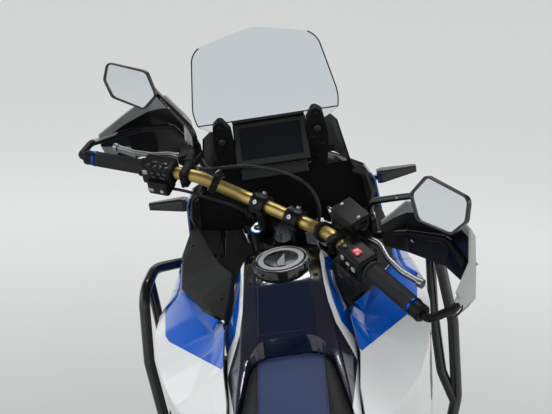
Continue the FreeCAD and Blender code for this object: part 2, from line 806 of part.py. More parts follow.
def make_levers():
    """Clutch lever and its perch on the left, brake lever and its master cylinder on the right."""
    width = float(S.perch_width)
    middle = width / 2
    clamp = rounded_block((-22, 26), (0, width), (-21, 21), 6)
    arm = rounded_block((12, S.mirror_boss_ahead), (1, width - 1), (-9, 9), 4)
    boss = rod((S.mirror_boss_ahead, middle + 8, -13), (S.mirror_boss_ahead, middle + 8, 18), 11)
    yoke = rounded_block((34, 58), (middle, middle + 38), (-10, 10), 4)
    pivot = (47, middle + 30, 0)
    knuckle = rod((47, middle + 30, -14), (47, middle + 30, 14), 9)
    blade = tube([pivot, (56, middle + 62, 0), (42, middle + 104, 0), (38, middle + 150, 2),
                  (44, middle + 196, 4)], 6.5, 40)
    knob = rod((42, middle + 192, 4), (45, middle + 202, 4), 9)
    bore = rod((0, -10, 0), (0, width + 10, 0), S.bar_radius + S.pin_clearance)
    left = fused(clamp, arm, boss, yoke, knuckle, blade, knob).cut(bore)
    cylinder = rod((44, middle + 26, 0), (44, middle - 74, 0), 12)
    cup = rounded_block((20, 64), (-30, 36), (18, 48), 9)
    lid = rounded_block((18, 66), (-32, 38), (46, 52), 2.5)
    neck = rod((44, -8, 6), (44, -8, 26), 9)
    right = fused(clamp, arm, boss, yoke, knuckle, blade, knob, cylinder, neck, cup, lid).cut(bore)
    place = bar_placement(S.perch_start + S.perch_width)
    left.Placement = place
    right.Placement = place
    solid("control_levers", "steering", Part.makeCompound([left, mirrored(right)]))


def make_triple_clamps():
    half = S.fork_spread / 2
    upper_z = S.head_tube_top + S.clamp_gap
    lower_z = S.head_tube_bottom - S.clamp_gap - S.lower_clamp_thickness
    pieces = []
    for level, thick in ((upper_z, S.upper_clamp_thickness), (lower_z, S.lower_clamp_thickness)):
        plate = ring_of([
            (Vector(-30, -34, level), 12),
            (Vector(S.fork_offset - 30, -half, level), 0),
            (Vector(S.fork_offset + 30, -half, level), 0),
            (Vector(S.fork_offset + 18, 0, level), 0),
            (Vector(S.fork_offset + 30, half, level), 0),
            (Vector(S.fork_offset - 30, half, level), 0),
            (Vector(-30, 34, level), 12),
        ])
        pieces.append(Part.Face(plate).extrude(Vector(0, 0, thick)))
        for side in (-1, 1):
            at = Vector(S.fork_offset, side * half, level)
            pieces.append(Part.makeCylinder(S.clamp_ear_radius, float(thick), at))
    top = upper_z + S.upper_clamp_thickness
    pieces.append(rod((0, 0, lower_z + 10), (0, 0, upper_z + 10), S.stem_radius))
    pieces.append(rod((0, 0, top - 10), (0, 0, top + 12), S.stem_radius + 3))
    pieces.append(rod((-16, 58, top - 10), (-16, 58, top + 24), 17))
    pieces.append(rod((-16, -58, top - 10), (-16, -58, top + 12), 12))
    pieces.append(block((34, 58), (-14, 14), (lower_z - 26, lower_z + 4)))
    for side in (-1, 1):
        y = side * S.riser_spread / 2
        pieces.append(rod((0, y, top - 10), (0, y, S.bar_level - 6), S.riser_radius))
        pieces.append(rod((0, y - 17, S.bar_level), (0, y + 17, S.bar_level), S.riser_cap_radius))
    tools = [rod((0, -200, S.bar_level), (0, 200, S.bar_level), S.bar_radius + S.pin_clearance)]
    for side in (-1, 1):
        y = side * half
        tools.append(rod((S.fork_offset, y, lower_z - 20), (S.fork_offset, y, top + 60),
                         S.fork_outer_radius + S.pin_clearance))
    clamps = pieces[0].fuse(pieces[1:])
    for tool in tools:
        clamps = clamps.cut(tool)
    solid("triple_clamps", "steering", clamps)


def make_fork():
    half = S.fork_spread / 2
    x = S.fork_offset
    outer = Part.makeCylinder(
        S.fork_outer_radius, S.fork_top_level - S.fork_seal_level, Vector(x, half, S.fork_seal_level))
    cap = Part.makeCylinder(S.fork_outer_radius - 6, 10, Vector(x, half, S.fork_top_level))
    bore = Part.makeCylinder(S.fork_inner_radius, 100, Vector(x, half, S.fork_seal_level))
    solid("fork_tubes", "steering", pair(outer.fuse(cap).cut(bore)))
    slider = Part.makeCylinder(
        S.fork_inner_radius, S.fork_seal_level + 90 - S.axle_lug_top, Vector(x, half, S.axle_lug_top))
    lug = Part.makeCylinder(
        S.axle_lug_radius, S.axle_lug_top - S.axle_lug_bottom, Vector(x, half, S.axle_lug_bottom))
    boss = Part.makeCylinder(S.axle_lug_radius, 2 * S.axle_lug_radius,
                             Vector(S.axle_lead, half - S.axle_lug_radius, 0), Vector(0, 1, 0))
    hole = Part.makeCylinder(S.front_axle_radius + S.pin_clearance, 100,
                             Vector(S.axle_lead, half - 50, 0), Vector(0, 1, 0))
    solid("fork_legs", "steering", pair(fused(slider, lug, boss).cut(hole)))


def make_front_axle():
    outer = S.fork_spread / 2 + S.axle_lug_radius
    inner = S.fork_spread / 2 - S.axle_lug_radius
    hub_end = S.front_hub_width / 2 + S.disc_thickness + S.slide_gap
    bar = Part.makeCylinder(S.front_axle_radius, 2 * outer, Vector(S.axle_lead, -outer, 0), Vector(0, 1, 0))
    collar = Part.makeCylinder(S.front_axle_radius + 6, inner - hub_end,
                               Vector(S.axle_lead, hub_end, 0), Vector(0, 1, 0))
    head = Part.makeCylinder(S.front_axle_radius + 5, 8, Vector(S.axle_lead, outer, 0), Vector(0, 1, 0))
    solid("front_axle", "steering", fused(bar, collar, mirrored(collar), head))


def make_front_brakes():
    y = S.front_hub_width / 2 + S.disc_thickness / 2
    body = rounded_block((-112, -24), (y - 18, y + 18), (44, 138), 8)
    slot = Part.makeCylinder(S.front_disc_radius + 4, S.disc_thickness + 4,
                             Vector(S.axle_lead, y - S.disc_thickness / 2 - 2, 0), Vector(0, 1, 0))
    bracket = block((-30, 12), (y + 8, S.fork_spread / 2), (54, 76))
    lug = Part.makeCylinder(S.axle_lug_radius + S.slide_gap, 200,
                            Vector(S.fork_offset, S.fork_spread / 2, -50))
    solid("front_calipers", "steering", pair(fused(body, bracket.cut(lug)).cut(slot)))


def make_front_fender():
    """A shell round the top of the front wheel with stays down to the axle lugs."""
    inside = S.front_tyre_radius + S.fender_clearance
    half = S.fender_half_width
    wall = S.fender_wall
    points = [
        (inside - 34, -half), (inside - 8, -half), (inside, -half + 14), (inside, half - 14),
        (inside - 8, half), (inside - 34, half), (inside - 34, half - wall), (inside - 10, half - wall),
        (inside - wall, half - 16), (inside - wall, -half + 16), (inside - 10, -half + wall),
        (inside - 34, -half + wall)]
    wire = Part.makePolygon([Vector(x, y, 0) for x, y in points + points[:1]])
    shell = Part.Face(wire).revolve(Vector(), Vector(0, 1, 0), -S.fender_arc)
    shell.rotate(Vector(), Vector(0, 1, 0), 12)
    shell.translate(Vector(S.axle_lead, 0, 0))
    stays = []
    for lean in (-30, 45):
        reach = inside - 20
        top = Vector(S.axle_lead + reach * sin(radians(lean)), half, reach * cos(radians(lean)))
        foot = Vector(S.fork_offset, S.fork_spread / 2 - S.axle_lug_radius - 4.5, S.axle_lug_top - 12)
        stays.append(rod(foot, top, 4))
    arms = fused(*stays)
    solid("front_fender", "steering", fused(shell, arms, mirrored(arms)))


def make_hand_guards():
    """On each side a shield in front of the grip, the beam that carries it, and the bar end weight."""
    stations = [
        (254, 22, 944, 1008),
        (290, 66, 904, 1044),
        (370, 88, 884, 1056),
        (440, 66, 876, 1036),
        (474, 6, 884, 1012),
        (486, -64, 930, 1002),
    ]
    wires = []
    for index, (y, x, low, high) in enumerate(stations):
        before = stations[max(index - 1, 0)]
        after = stations[min(index + 1, len(stations) - 1)]
        inward = Vector(before[0] - after[0], after[1] - before[1], 0).normalize()
        line = [(14, low), (0, low + 30), (0, high - 26), (10, high)]
        inner = [(curl + S.panel_wall, z) for curl, z in line]
        spots = [Vector(x, y, z) + inward * curl for curl, z in line + inner[::-1]]
        wires.append(Part.makePolygon(spots + spots[:1]))
    shell = Part.makeLoft(wires, True, True)
    tip, along = grip_spot(0)
    weight = Part.makeCylinder(
        S.bar_weight_radius, S.bar_weight_length - S.slide_gap, tip, along.negative())
    points = [Vector(*point) for point in bar_points()]
    rise = (points[2] - points[1]).normalize()
    clamp_at = points[1] + rise * 66
    clamp = Part.makeCylinder(21, 16, clamp_at, rise)
    bore = Part.makeCylinder(S.bar_radius + S.pin_clearance, 40, clamp_at - rise * 10, rise)
    beam = tube([tip - along * 8, tip + along * 18, (-88, 484, 988), (-24, 470, 970), (32, 440, 962),
                 (73, 374, 962), (50, 296, 958), (20, 236, 950), clamp_at + rise * 8 + Vector(10, 0, -4)],
                S.guard_beam_radius, 26)
    solid("hand_guards", "steering", pair(fused(shell, weight, beam, clamp.cut(bore)).cut(bore)))


def mirror_spot(y, z, depth):
    """A point of the left mirror: the face leans to stand upright and turns in to the rider."""
    normal = Vector(1, 0.3, -0.48).normalize()
    return Vector(-2 - 0.3 * (y - 400) + 0.48 * (z - 1109), y, z) + normal * depth


def make_mirrors():
    """Each mirror: a six-sided housing with a recess for the glass, on a bent stem from the perch."""
    outline = [(458, 1166, 14), (356, 1156, 16), (328, 1108, 12), (356, 1074, 16), (440, 1092, 16),
               (464, 1128, 14)]
    middle = (398, 1120)
    rings = {}
    levels = [("face", 0, 0), ("rim", 0, 8), ("back", 26, 34), ("lip", 5, -1), ("floor", 5, 3)]
    for name, shrink, depth in levels:
        corners = []
        for y, z, radius in outline:
            reach = hypot(y - middle[0], z - middle[1])
            scale = 1 - shrink / reach
            spot = mirror_spot(middle[0] + (y - middle[0]) * scale,
                               middle[1] + (z - middle[1]) * scale, depth)
            corners.append((spot, radius * scale))
        rings[name] = ring_of(corners)
    shell = Part.makeLoft([rings["face"], rings["rim"], rings["back"]], True, True)
    recess = Part.makeLoft([rings["lip"], rings["floor"]], True, True)
    place = bar_placement(S.perch_start + S.perch_width)
    foot = place.multVec(Vector(S.mirror_boss_ahead, S.perch_width / 2 + 8, 18 + S.slide_gap))
    up = place.Rotation.multVec(Vector(0, 0, 1))
    nut = Part.makeCylinder(9, 12, foot, up)
    stem = tube([foot, foot + up * 44, (26, 300, 1080), (36, 356, 1106)], 6.5, 40)
    solid("mirrors", "steering", pair(fused(shell, stem, nut).cut(recess)))


def cord(name, points, radius):
    """A hose or cable: a tube of straight runs and the largest tangent arcs, with its radii printed."""
    spots = [Vector(*point) for point in points]
    radii = []
    for before, corner, after in zip(spots, spots[1:], spots[2:]):
        half_turn = (corner - before).getAngle(after - corner) / 2
        shorter = min(corner.distanceToPoint(before), corner.distanceToPoint(after))
        radii.append(0.45 * shorter / tan(half_turn))
    shape = tube(spots, radius, max(radii))
    length = shape.Volume / (pi * radius * radius)
    print("CORD", name, f"length {length:.0f}", "radii", *(f"{bend:.0f}" for bend in radii))
    return shape


def make_cables():
    """Brake hoses from the right lever to a splitter under the lower clamp and on to both calipers,
    the clutch cable from the left perch and the wiring from the left switches, all on the steering."""
    top = S.head_tube_top + S.clamp_gap + S.upper_clamp_thickness + S.slide_gap
    place = bar_placement(S.perch_start + S.perch_width)
    switch_place = bar_placement(S.switch_start + S.switch_width)
    inboard = place.Rotation.multVec(Vector(0, -1, 0))
    outlet = place.multVec(Vector(44, S.perch_width / 2 - 74 - S.slide_gap, 0))
    hose_start = Vector(outlet.x, -outlet.y, outlet.z)
    hose_next = hose_start + Vector(inboard.x, -inboard.y, inboard.z) * 26
    clutch_start = place.multVec(Vector(24, -S.slide_gap, 0))
    wiring_start = switch_place.multVec(Vector(-16, 8 - S.slide_gap, -36))
    splitter_z = S.head_tube_bottom - S.clamp_gap - S.lower_clamp_thickness - 12
    main_hose = [
        hose_start, hose_next, (48, -112, 940), (66, -112, 884), (79, -108, 820), (82, -108.5, 748),
        (83, -106, 676), (92, -80, 620), (96, -40, 594), (84, 0, splitter_z), (58.3, 0, splitter_z)]
    branch = [
        (46, 14.3, splitter_z), (46, 40, splitter_z), (66, 66, 562), (80, 96, 516), (76, 130, 456),
        (50, 150, 392), (12, 150, 320), (-24, 128, 250), (-54, 92, 200), (-62, 64, 170), (-62, 64, 138.3)]
    clutch = [
        clutch_start, clutch_start + inboard * 22, (40, 128, 968), (66, 74, 962), (80, 16, 956),
        (82, -30, 942), (70, -60, 910), (50, -66, 868), (50, -66, top)]
    wiring = [
        wiring_start, wiring_start + inboard * 34, (-56, 170, 934), (-34, 138, 914), (-12, 102, 890),
        (-2, 77, 862), (-2, 77, top)]
    brake = cord("branch", branch, 3.5)
    solid("cables", "steering", Part.makeCompound([
        cord("main_hose", main_hose, 3.5), brake, mirrored(brake),
        cord("clutch", clutch, 4), cord("wiring", wiring, 3.5)]))


# Chassis

def make_main_frame():
    half = S.frame_half_width
    head = HEAD.multVec(Vector(0, 0, S.head_tube_top - 100))
    neck = HEAD.multVec(Vector(0, 0, S.head_tube_bottom + 40))
    spar = tube([(head.x - 12, 20, head.z), (1060, 84, 846), (900, half, 790), (700, half, 742),
                 (572, 124, 600), (S.pivot_x + 8, 124, S.pivot_z + 40)], S.spar_radius, 90)
    cradle = tube([(neck.x - 10, 14, neck.z), (1140, 36, 838), (1082, 92, 640), (1010, 120, 400),
                   (960, 122, 286), (620, 124, 286), (S.pivot_x + 10, 124, S.pivot_z - 60)],
                  S.cradle_radius, 90)
    plate = block((S.pivot_x - 28, S.pivot_x + 34), (S.pivot_plate_inner, S.pivot_plate_inner + 12),
                  (S.pivot_z - 76, S.pivot_z + 70))
    top_pad = rod((S.pivot_x + 5, 106, S.pivot_z + 45), (S.pivot_x + 5, 124, S.pivot_z + 45), 20)
    low_pad = rod((S.pivot_x + 8, 106, S.pivot_z - 58), (S.pivot_x + 8, 124, S.pivot_z - 58), 18)
    pivot_hole = rod((S.pivot_x, 80, S.pivot_z), (S.pivot_x, 130, S.pivot_z),
                     S.pivot_radius + S.pin_clearance)
    side = fused(spar, cradle, plate, top_pad, low_pad).cut(pivot_hole)
    tube_out = Part.makeCylinder(
        S.head_tube_radius, S.head_tube_top - S.head_tube_bottom, Vector(0, 0, S.head_tube_bottom))
    tube_out.Placement = HEAD.multiply(tube_out.Placement)
    bore = Part.makeCylinder(
        S.stem_radius + S.slide_gap, 400, Vector(0, 0, S.head_tube_bottom - 100))
    bore.Placement = HEAD.multiply(bore.Placement)
    cross = rod((572, -120, 600), (572, 120, 600), 14)
    under = rod((620, -122, 286), (620, 122, 286), 12)
    pivot, _, _, hinge, _ = stand_points()
    seat = pivot - hinge * (S.stand_leg_radius + S.slide_gap)
    pin = Part.makeCylinder(S.stand_pin_radius, 2 * S.stand_leg_radius + 8, seat - hinge, hinge)
    boss = Part.makeCylinder(S.stand_leg_radius + 5, 22, seat, hinge.negative())
    frame = fused(side, mirrored(side), tube_out, cross, under, boss, pin).cut(bore)
    solid("main_frame", "frame", frame)


def make_subframe():
    rail = tube([(641.4, 124.5, 704.4), (604, 124.5, 738), (360, 128, 792), (60, 104, 846),
                 (-150, 70, 872)], S.subframe_radius, 120)
    brace = tube([(538, 124, 572), (380, 126, 640), (190, 116, 800)], S.subframe_radius - 2, 80)
    cross = [rod((x, -y, z), (x, y, z), 10)
             for x, y, z in ((360, 128, 792), (60, 104, 846), (-140, 72, 871))]
    solid("subframe", "frame", fused(rail, brace, mirrored(rail), mirrored(brace), *cross))


def cast_cover(x, z, inner, outer, radius):
    """Round engine cover along Y with a sloping shoulder."""
    out = 1 if outer > inner else -1
    shoulder = 14
    wall = Part.makeCylinder(radius, abs(outer - inner) - shoulder, Vector(x, inner, z), Vector(0, out, 0))
    dome = Part.makeCone(radius, radius - shoulder, shoulder, Vector(x, outer - out * shoulder, z),
                         Vector(0, out, 0))
    return wall.fuse(dome)


def make_engine():
    """Crankcase with sump, covers, rear mount and drive shaft, and the cylinders leaning forward on it."""
    outline = ring_of([(Vector(x, -75, z), radius) for x, z, radius in (
        (570, 344, 26), (562, 470, 60), (600, 540, 24), (898, 540, 18), (904, 430, 50), (880, 344, 30))])
    case = Part.Face(outline).extrude(Vector(0, 150, 0))
    sump = rounded_block((660, 884), (-100, 100), (326, 392), 14)
    shaft = rod((S.drive_shaft_x, 70, S.drive_shaft_z),
                (S.drive_shaft_x, S.chain_line + 14, S.drive_shaft_z),
                S.front_axle_radius - S.pin_clearance)
    covers = [
        cast_cover(770, 450, 70, 132, 84),
        cast_cover(690, 470, 70, 120, 50),
        cast_cover(720, 440, -70, -158, 96),
        cast_cover(830, 430, -72, -140, 62),
    ]
    mount_end = S.pivot_plate_inner - S.slide_gap
    mount = rod((560, -mount_end, 470), (560, mount_end, 470), 14)
    solid("crankcase", "frame", fused(case, sump, *covers, mount, shaft))
    barrel = rounded_block((-95, 95), (-105, 105), (-60, 196), 8)
    head = rounded_block((-86, 86), (-99, 99), (182, 240), 16)
    fins = [block((-100, 100), (-108, 108), (level, level + 8)) for level in (40, 60, 80)]
    stack = fused(barrel, head, *fins)
    stack.Placement = Placement(Vector(790, 0, 540.3), Rotation(Vector(0, 1, 0), 12))
    solid("cylinders", "frame", stack.cut(block((500, 1100), (-200, 200), (400, 540 + S.slide_gap))))


def make_radiators():
    """Each radiator: a finned core between two side tanks, with the filler cap on one."""
    core = block((-13, 13), (10, 102), (0, 236))
    tanks = [rod((0, y, -4), (0, y, 240), 17) for y in (12, 100)]
    rails = [block((-16, 16), (12, 100), (z, z + 8)) for z in (-4, 232)]
    neck = rod((0, 12, 236), (0, 12, 252), 12)
    shape = fused(core, *tanks, *rails, neck)
    shape.Placement = Placement(Vector(1016, 116, 596), Rotation(Vector(0, 1, 0), 6))
    solid("radiators", "frame", pair(shape))


def make_skid_plate():
    half = 144
    line = [(690, 256), (985, 256), (1084, 336), (1112, 440), (1106, 442), (1078, 340), (982, 262),
            (690, 262)]
    sheet = Part.Face(Part.makePolygon([Vector(x, -half, z) for x, z in line + line[:1]]))
    cheek = [(700, 256), (985, 256), (1084, 336), (1070, 350), (955, 284), (700, 284)]
    wall = Part.Face(Part.makePolygon([Vector(x, -half, z) for x, z in cheek + cheek[:1]]))
    wall = wall.extrude(Vector(0, 4, 0))
    solid("skid_plate", "frame", fused(sheet.extrude(Vector(0, 2 * half, 0)), wall, mirrored(wall)))


SILENCER_START = Vector(300, -200, 566)
SILENCER_AXIS = Vector(-560, -26, 190)


def make_exhaust():
    left = tube([(911, 56, 649.5), (958, 56, 639), (980, 50, 590), (980, 30, 450), (962, -40, 360),
                 (930, -118, 336)], 19, 60)
    right = tube([(911, -56, 649.5), (958, -56, 639), (980, -58, 590), (982, -76, 440),
                  (940, -116, 336), (900, -148, 324)], 19, 60)
    along = Vector(SILENCER_AXIS).normalize()
    rear = tube([(925, -128, 332), (860, -166, 318), (690, -180, 316), (600, -182, 330), (450, -194, 452),
                 SILENCER_START - along * 90, SILENCER_START], 23, 80)
    solid("exhaust_pipes", "frame", fused(left, right, rear))


def make_silencer():
    """Oval can with a cone in front, a stepped end cap and an outlet."""
    along = Vector(SILENCER_AXIS).normalize()
    side = Vector(0, 1, 0)
    side = (side - along * side.dot(along)).normalize()
    up = side.cross(along).negative()

    def oval(distance, width, height):
        spot = SILENCER_START + along * distance
        radius = width / 2 - 0.5
        return ring_of([(spot + side * (a * width / 2) + up * (b * height / 2), radius)
                        for a, b in ((-1, -1), (1, -1), (1, 1), (-1, 1))])

    length = SILENCER_AXIS.Length
    can = Part.makeLoft([oval(0, 52, 54), oval(90, 100, 126), oval(length - 50, 104, 130)], True, True)
    cap = Part.makeLoft([oval(length - 50, 108, 134), oval(length - 36, 108, 134),
                         oval(length, 78, 96)], True, True)
    outlet = Part.makeCylinder(25, 44, SILENCER_START + along * (length - 20), along)
    hole = Part.makeCylinder(22, 60, SILENCER_START + along * (length - 6), along)
    band = Part.makeLoft([oval(120, 108, 134), oval(138, 108, 134)], True, True)
    solid("silencer", "frame", fused(can, cap, outlet, band).cut(hole))


def seat_plan(gap):
    """Prism over the seat's plan: straight flanks closing to a nose with round shoulders."""
    half = [(300, 152, 0), (480, 134, 0), (690, 92, 0), (S.seat_nose_x, 76, 50)]
    left = [(Vector(x - gap, y - gap, 780), radius) for x, y, radius in half]
    right = [(Vector(x - gap, gap - y, 780), radius) for x, y, radius in reversed(half)]
    return Part.Face(ring_of(left + right)).extrude(Vector(0, 0, 260))


def make_tank():
    stations = [
        (610, [(0, 838, 0), (102, 838, 0), (117, 870, 8), (106, 892, 4), (60, 896, 4), (0, 896, 0)]),
        (700, [(0, 846, 0), (106, 846, 0), (121, 900, 12), (100, 930, 8), (60, 934, 8), (0, 936, 0)]),
        (764, [(0, 850, 0), (108, 850, 0), (126, 918, 14), (94, 952, 10), (58, 958, 8), (0, 962, 0)]),
        (820, [(0, 850, 0), (120, 850, 0), (126, 940, 18), (90, 990, 12), (54, 1004, 8), (0, 1008, 0)]),
        (880, [(0, 850, 0), (130, 850, 0), (134, 960, 24), (80, 1044, 12), (54, 1052, 8), (0, 1056, 0)]),
        (960, [(0, 850, 0), (134, 850, 0), (140, 960, 28), (84, 1070, 14), (54, 1076, 8), (0, 1080, 0)]),
        (1040, [(0, 896, 0), (128, 896, 0), (134, 980, 28), (78, 1066, 18), (52, 1074, 8), (0, 1078, 0)]),
        (1088, [(0, 910, 0), (96, 910, 0), (104, 950, 20), (68, 985, 14), (46, 992, 8), (0, 996, 0)]),
    ]
    skin = loft_along_x(stations)
    seat_floor = [(590, 822), (700, 858), (800, 900), (800, 1100), (590, 1100)]
    wedge = Part.Face(Part.makePolygon([Vector(x, -200, z) for x, z in seat_floor + seat_floor[:1]]))
    skin = skin.cut(seat_plan(0).common(wedge.extrude(Vector(0, 400, 0))))
    collar = Part.makeCylinder(S.cap_radius + S.cap_collar, 60, Vector(0, 0, -60))
    recess = Part.makeCylinder(
        S.cap_radius + S.cap_gap, 60, Vector(0, 0, 1 - S.cap_thickness - S.slide_gap))
    neck = Part.makeCylinder(S.neck_radius, S.neck_depth, Vector(0, 0, -S.neck_depth))
    for shape in (collar, recess, neck):
        shape.Placement = CAP
    solid("fuel_tank", "frame", fused(skin, collar).cut(recess).cut(neck))


def make_cap():
    """Lid with a raised ring, a dished centre and the flap over its lock."""
    lid = Part.makeCylinder(S.cap_radius, float(S.cap_thickness), Vector(0, 0, 1 - S.cap_thickness))
    dish = Part.makeCylinder(S.cap_radius - 11, 10, Vector(0, 0, -2))
    flap = rounded_block((-30, 24), (-9, 9), (-4, 0.4), 2)
    solid("fuel_cap", "fuel_cap", lid.cut(dish).fuse(flap))


def make_shrouds():
    """Side covers from the tank's edge out to their widest line, and the black panels let into them."""
    covers = [
        (612, [(124, 873), (142, 850), (161, 820), (154, 773)]),
        (690, [(122, 908), (144, 886), (174, 850), (166, 790)]),
        (779, [(131, 934), (168, 914), (236, 866), (228, 770)]),
        (830, [(124, 988), (146, 957), (262, 898), (252, 730)]),
        (880, [(130, 987), (152, 966), (278, 925), (258, 690)]),
        (950, [(176, 994), (196, 984), (288, 945), (256, 650)]),
        (1040, [(222, 1002), (236, 996), (292, 950), (252, 610)]),
        (1180, [(232, 1030), (246, 1020), (290, 940), (246, 590)]),
        (1262, [(228, 1046), (240, 1038), (268, 960), (232, 760)]),
    ]
    solid("side_shrouds", "frame", pair(skin_along_x(covers, S.panel_wall)))
    panels = [
        (866, [(119, 986), (123, 1003), (140, 999), (152, 981)]),
        (910, [(104, 1020), (110, 1040), (158, 1014), (168, 996)]),
        (950, [(100, 1050), (105, 1062), (180, 1016), (186, 1006)]),
        (1040, [(138, 1010), (140, 1058), (224, 1018), (230, 1010)]),
        (1110, [(158, 1000), (162, 1062), (230, 1032), (236, 1024)]),
        (1180, [(178, 1000), (182, 1068), (236, 1046), (242, 1038)]),
        (1286, [(206, 1010), (212, 1074), (230, 1062), (234, 1054)]),
    ]
    solid("inner_panels", "frame", pair(skin_along_x(panels, S.panel_wall)))


def make_nose():
    sides = [
        (1296, [(208, 1166), (230, 1124), (236, 1050), (226, 960), (196, 896)]),
        (1380, [(150, 1180), (182, 1132), (192, 1050), (176, 950), (140, 876)]),
        (1450, [(96, 1190), (134, 1132), (146, 1050), (126, 950), (92, 876)]),
        (1500, [(30, 1164), (70, 1112), (84, 1050), (70, 960), (40, 896)]),
    ]
    hood = [
        (1424, [(-117, 1186), (0, 1200), (117, 1186)]),
        (1450, [(-96, 1190), (0, 1204), (96, 1190)]),
        (1500, [(-30, 1164), (0, 1168), (30, 1164)]),
    ]
    side = skin_along_x(sides, S.panel_wall)
    solid("nose_fairing", "frame", fused(side, mirrored(side), skin_along_x(hood, S.panel_wall)))
    cross = HEAD.multVec(Vector(206, 0, 742))
    lamp = [
        (cross.x + 13 + S.slide_gap, [
            (0, 985, 0), (104, 985, 0), (118, 1040, 0), (84, 1086, 0), (0, 1086, 0)]),
        (1490, [(0, 990, 0), (56, 990, 0), (66, 1040, 0), (48, 1076, 0), (0, 1076, 0)]),
    ]
    solid("headlights", "frame", loft_along_x(lamp))


def make_cockpit_trim():
    """Black lining between the side covers and the screen, with the wall under the display."""
    low = [
        (1250, [(176, 1164), (206, 1146), (214, 1104), (208, 1080)]),
        (1295.7, [(184, 1174), (210, 1152), (230, 1100), (224, 1082)]),
    ]
    wing = [
        (1268, [(158, 1286), (178, 1176), (188, 1160)]),
        (1330, [(146, 1290), (166, 1186), (176, 1178)]),
        (1410, [(112, 1262), (126, 1204), (134, 1190)]),
    ]
    wall = [(-176, 1177.7), (176, 1177.7), (196, 1150), (204, 1060), (150, 1046), (-150, 1046),
            (-204, 1060), (-196, 1150)]
    wall_x = 1300
    sheet = Part.Face(Part.makePolygon([Vector(wall_x, y, z) for y, z in wall + wall[:1]]))
    side = fused(skin_along_x(low, S.panel_wall), skin_along_x(wing, S.panel_wall))
    solid("cockpit_trim", "frame", fused(sheet.extrude(Vector(S.panel_wall, 0, 0)), side, mirrored(side)))


def screen_sheet(behind, ahead):
    """The curved space from behind the screen's outer face to ahead of it."""
    sections = [(1236, 1374, 62), (1330, 1322, 66), (1450, 1246, 58), (1536, 1192, 46)]
    half = 180
    wires = []
    for z, x, sag in sections:
        front = Part.Arc(Vector(x + ahead - sag, -half, z), Vector(x + ahead, 0, z),
                         Vector(x + ahead - sag, half, z)).toShape()
        back = Part.Arc(Vector(x - behind - sag, half, z), Vector(x - behind, 0, z),
                        Vector(x - behind - sag, -half, z)).toShape()
        left = Part.LineSegment(Vector(x + ahead - sag, half, z),
                                Vector(x - behind - sag, half, z)).toShape()
        right = Part.LineSegment(Vector(x - behind - sag, -half, z),
                                 Vector(x + ahead - sag, -half, z)).toShape()
        wires.append(Part.Wire([front, left, back, right]))
    return Part.makeLoft(wires, True, False)


def make_windscreen():
    """A curved sheet cut to an outline with round shoulders."""
    edge = [(0, 1250, 0), (100, 1262, 30), (164, 1312, 14), (168, 1350, 120), (136, 1498, 46),
            (0, 1528, 90)]
    left_edge = [(Vector(1100, y, z), radius) for y, z, radius in edge]
    right_edge = [(Vector(1100, -y, z), radius) for y, z, radius in reversed(edge[1:-1])]
    outline = Part.Face(ring_of(left_edge + right_edge)).extrude(Vector(400, 0, 0))
    solid("windscreen", "frame", screen_sheet(S.screen_wall, 0).common(outline))


def make_instruments():
    """Display head between two towers that also hold the screen, with a lower panel and a shelf."""
    half_w = S.display_width / 2
    half_h = S.display_height / 2
    rim = S.display_bezel
    bottom = -half_h - rim
    case = rounded_block((0, S.display_depth), (-half_w - rim, half_w + rim), (bottom, -bottom), 5)
    visor = block((-15, 6), (-half_w - rim + 2, half_w + rim - 2), (-bottom - 5, -bottom - 1))
    lower = rounded_block((12, 34), (-78, 78), (bottom - 27, bottom + 6), 4)
    window = block((0, 14), (-70, 70), (bottom - 22, bottom - 4))
    recess = block((-1, 5), (-half_w, half_w), (-half_h, half_h))
    place = Placement(Vector(1254, 0, 1262), Rotation(Vector(0, 1, 0), 33))
    head = fused(case, visor, lower).cut(recess).cut(window)
    head.Placement = place
    outline = [(84, -6, 4), (122, -4, 6), (133, 70, 16), (126, 132, 12), (106, 148, 10), (87, 116, 8)]
    side_face = Part.Face(ring_of([(Vector(-24, y, z), radius) for y, z, radius in outline]))
    tower = side_face.extrude(Vector(24, 0, 0))
    knob = rod((-32, 110, 96), (-20, 110, 96), 10)
    ear = rod((-12, 120, 30), (-12, 142, 30), 9)
    tower = fused(tower, knob, ear)
    tower.Placement = Placement(Vector(1292, 0, 1196), Rotation(Vector(0, 1, 0), -17))
    lug = rod((1257, 100, 1272), (1333, 122, 1312), 8).cut(screen_sheet(S.screen_wall + S.slide_gap, 200))
    tower = fused(tower, lug)
    shelf = block((1284, 1372), (-108, 108), (1178, 1189.7))
    post = rounded_block((1244, 1322), (-60, 60), (1182, 1206), 3)
    feet = block((1284, 1292), (86, 108), (1186, 1200))
    solid("instrument_housing", "frame",
          fused(head, tower, mirrored(tower), shelf, post, feet, mirrored(feet)))
    glass = block((S.slide_gap, 4), (-half_w + S.slide_gap, half_w - S.slide_gap),
                  (-half_h + S.slide_gap, half_h - S.slide_gap))
    glass.Placement = place
    solid("instrument_screen", "frame", glass)


def lamp_ring(x, y, z, length, height, radius):
    """Rounded outline across Y, for a lamp that tapers along Y."""
    return ring_of([(Vector(x + a * length / 2, y, z + b * height / 2), radius)
                    for a, b in ((-1, -1), (1, -1), (1, 1), (-1, 1))])


def make_signals():
    """Flat tapering lamps on short stalks, a pair on the nose and a pair under the tail."""
    lamps = []
    for x, z, root, outer, tip in ((1380, 1104, (1358.8, 198, 1104), 238, 335),
                                   (-206, 838, (-206, 62.3, 842), 120, 205)):
        stalk = rod(root, (x, outer + 6, z + 4), 7)
        lamp = Part.makeLoft([
            lamp_ring(x, outer, z + 4, 34, 30, 6),
            lamp_ring(x, outer + 12, z + 5, 38, 34, 8),
            lamp_ring(x - 2, tip, z + 12, 20, 18, 5)], True, True)
        lamps.append(fused(stalk, lamp))
    solid("turn_signals", "frame", Part.makeCompound(lamps + [mirrored(lamp) for lamp in lamps]))


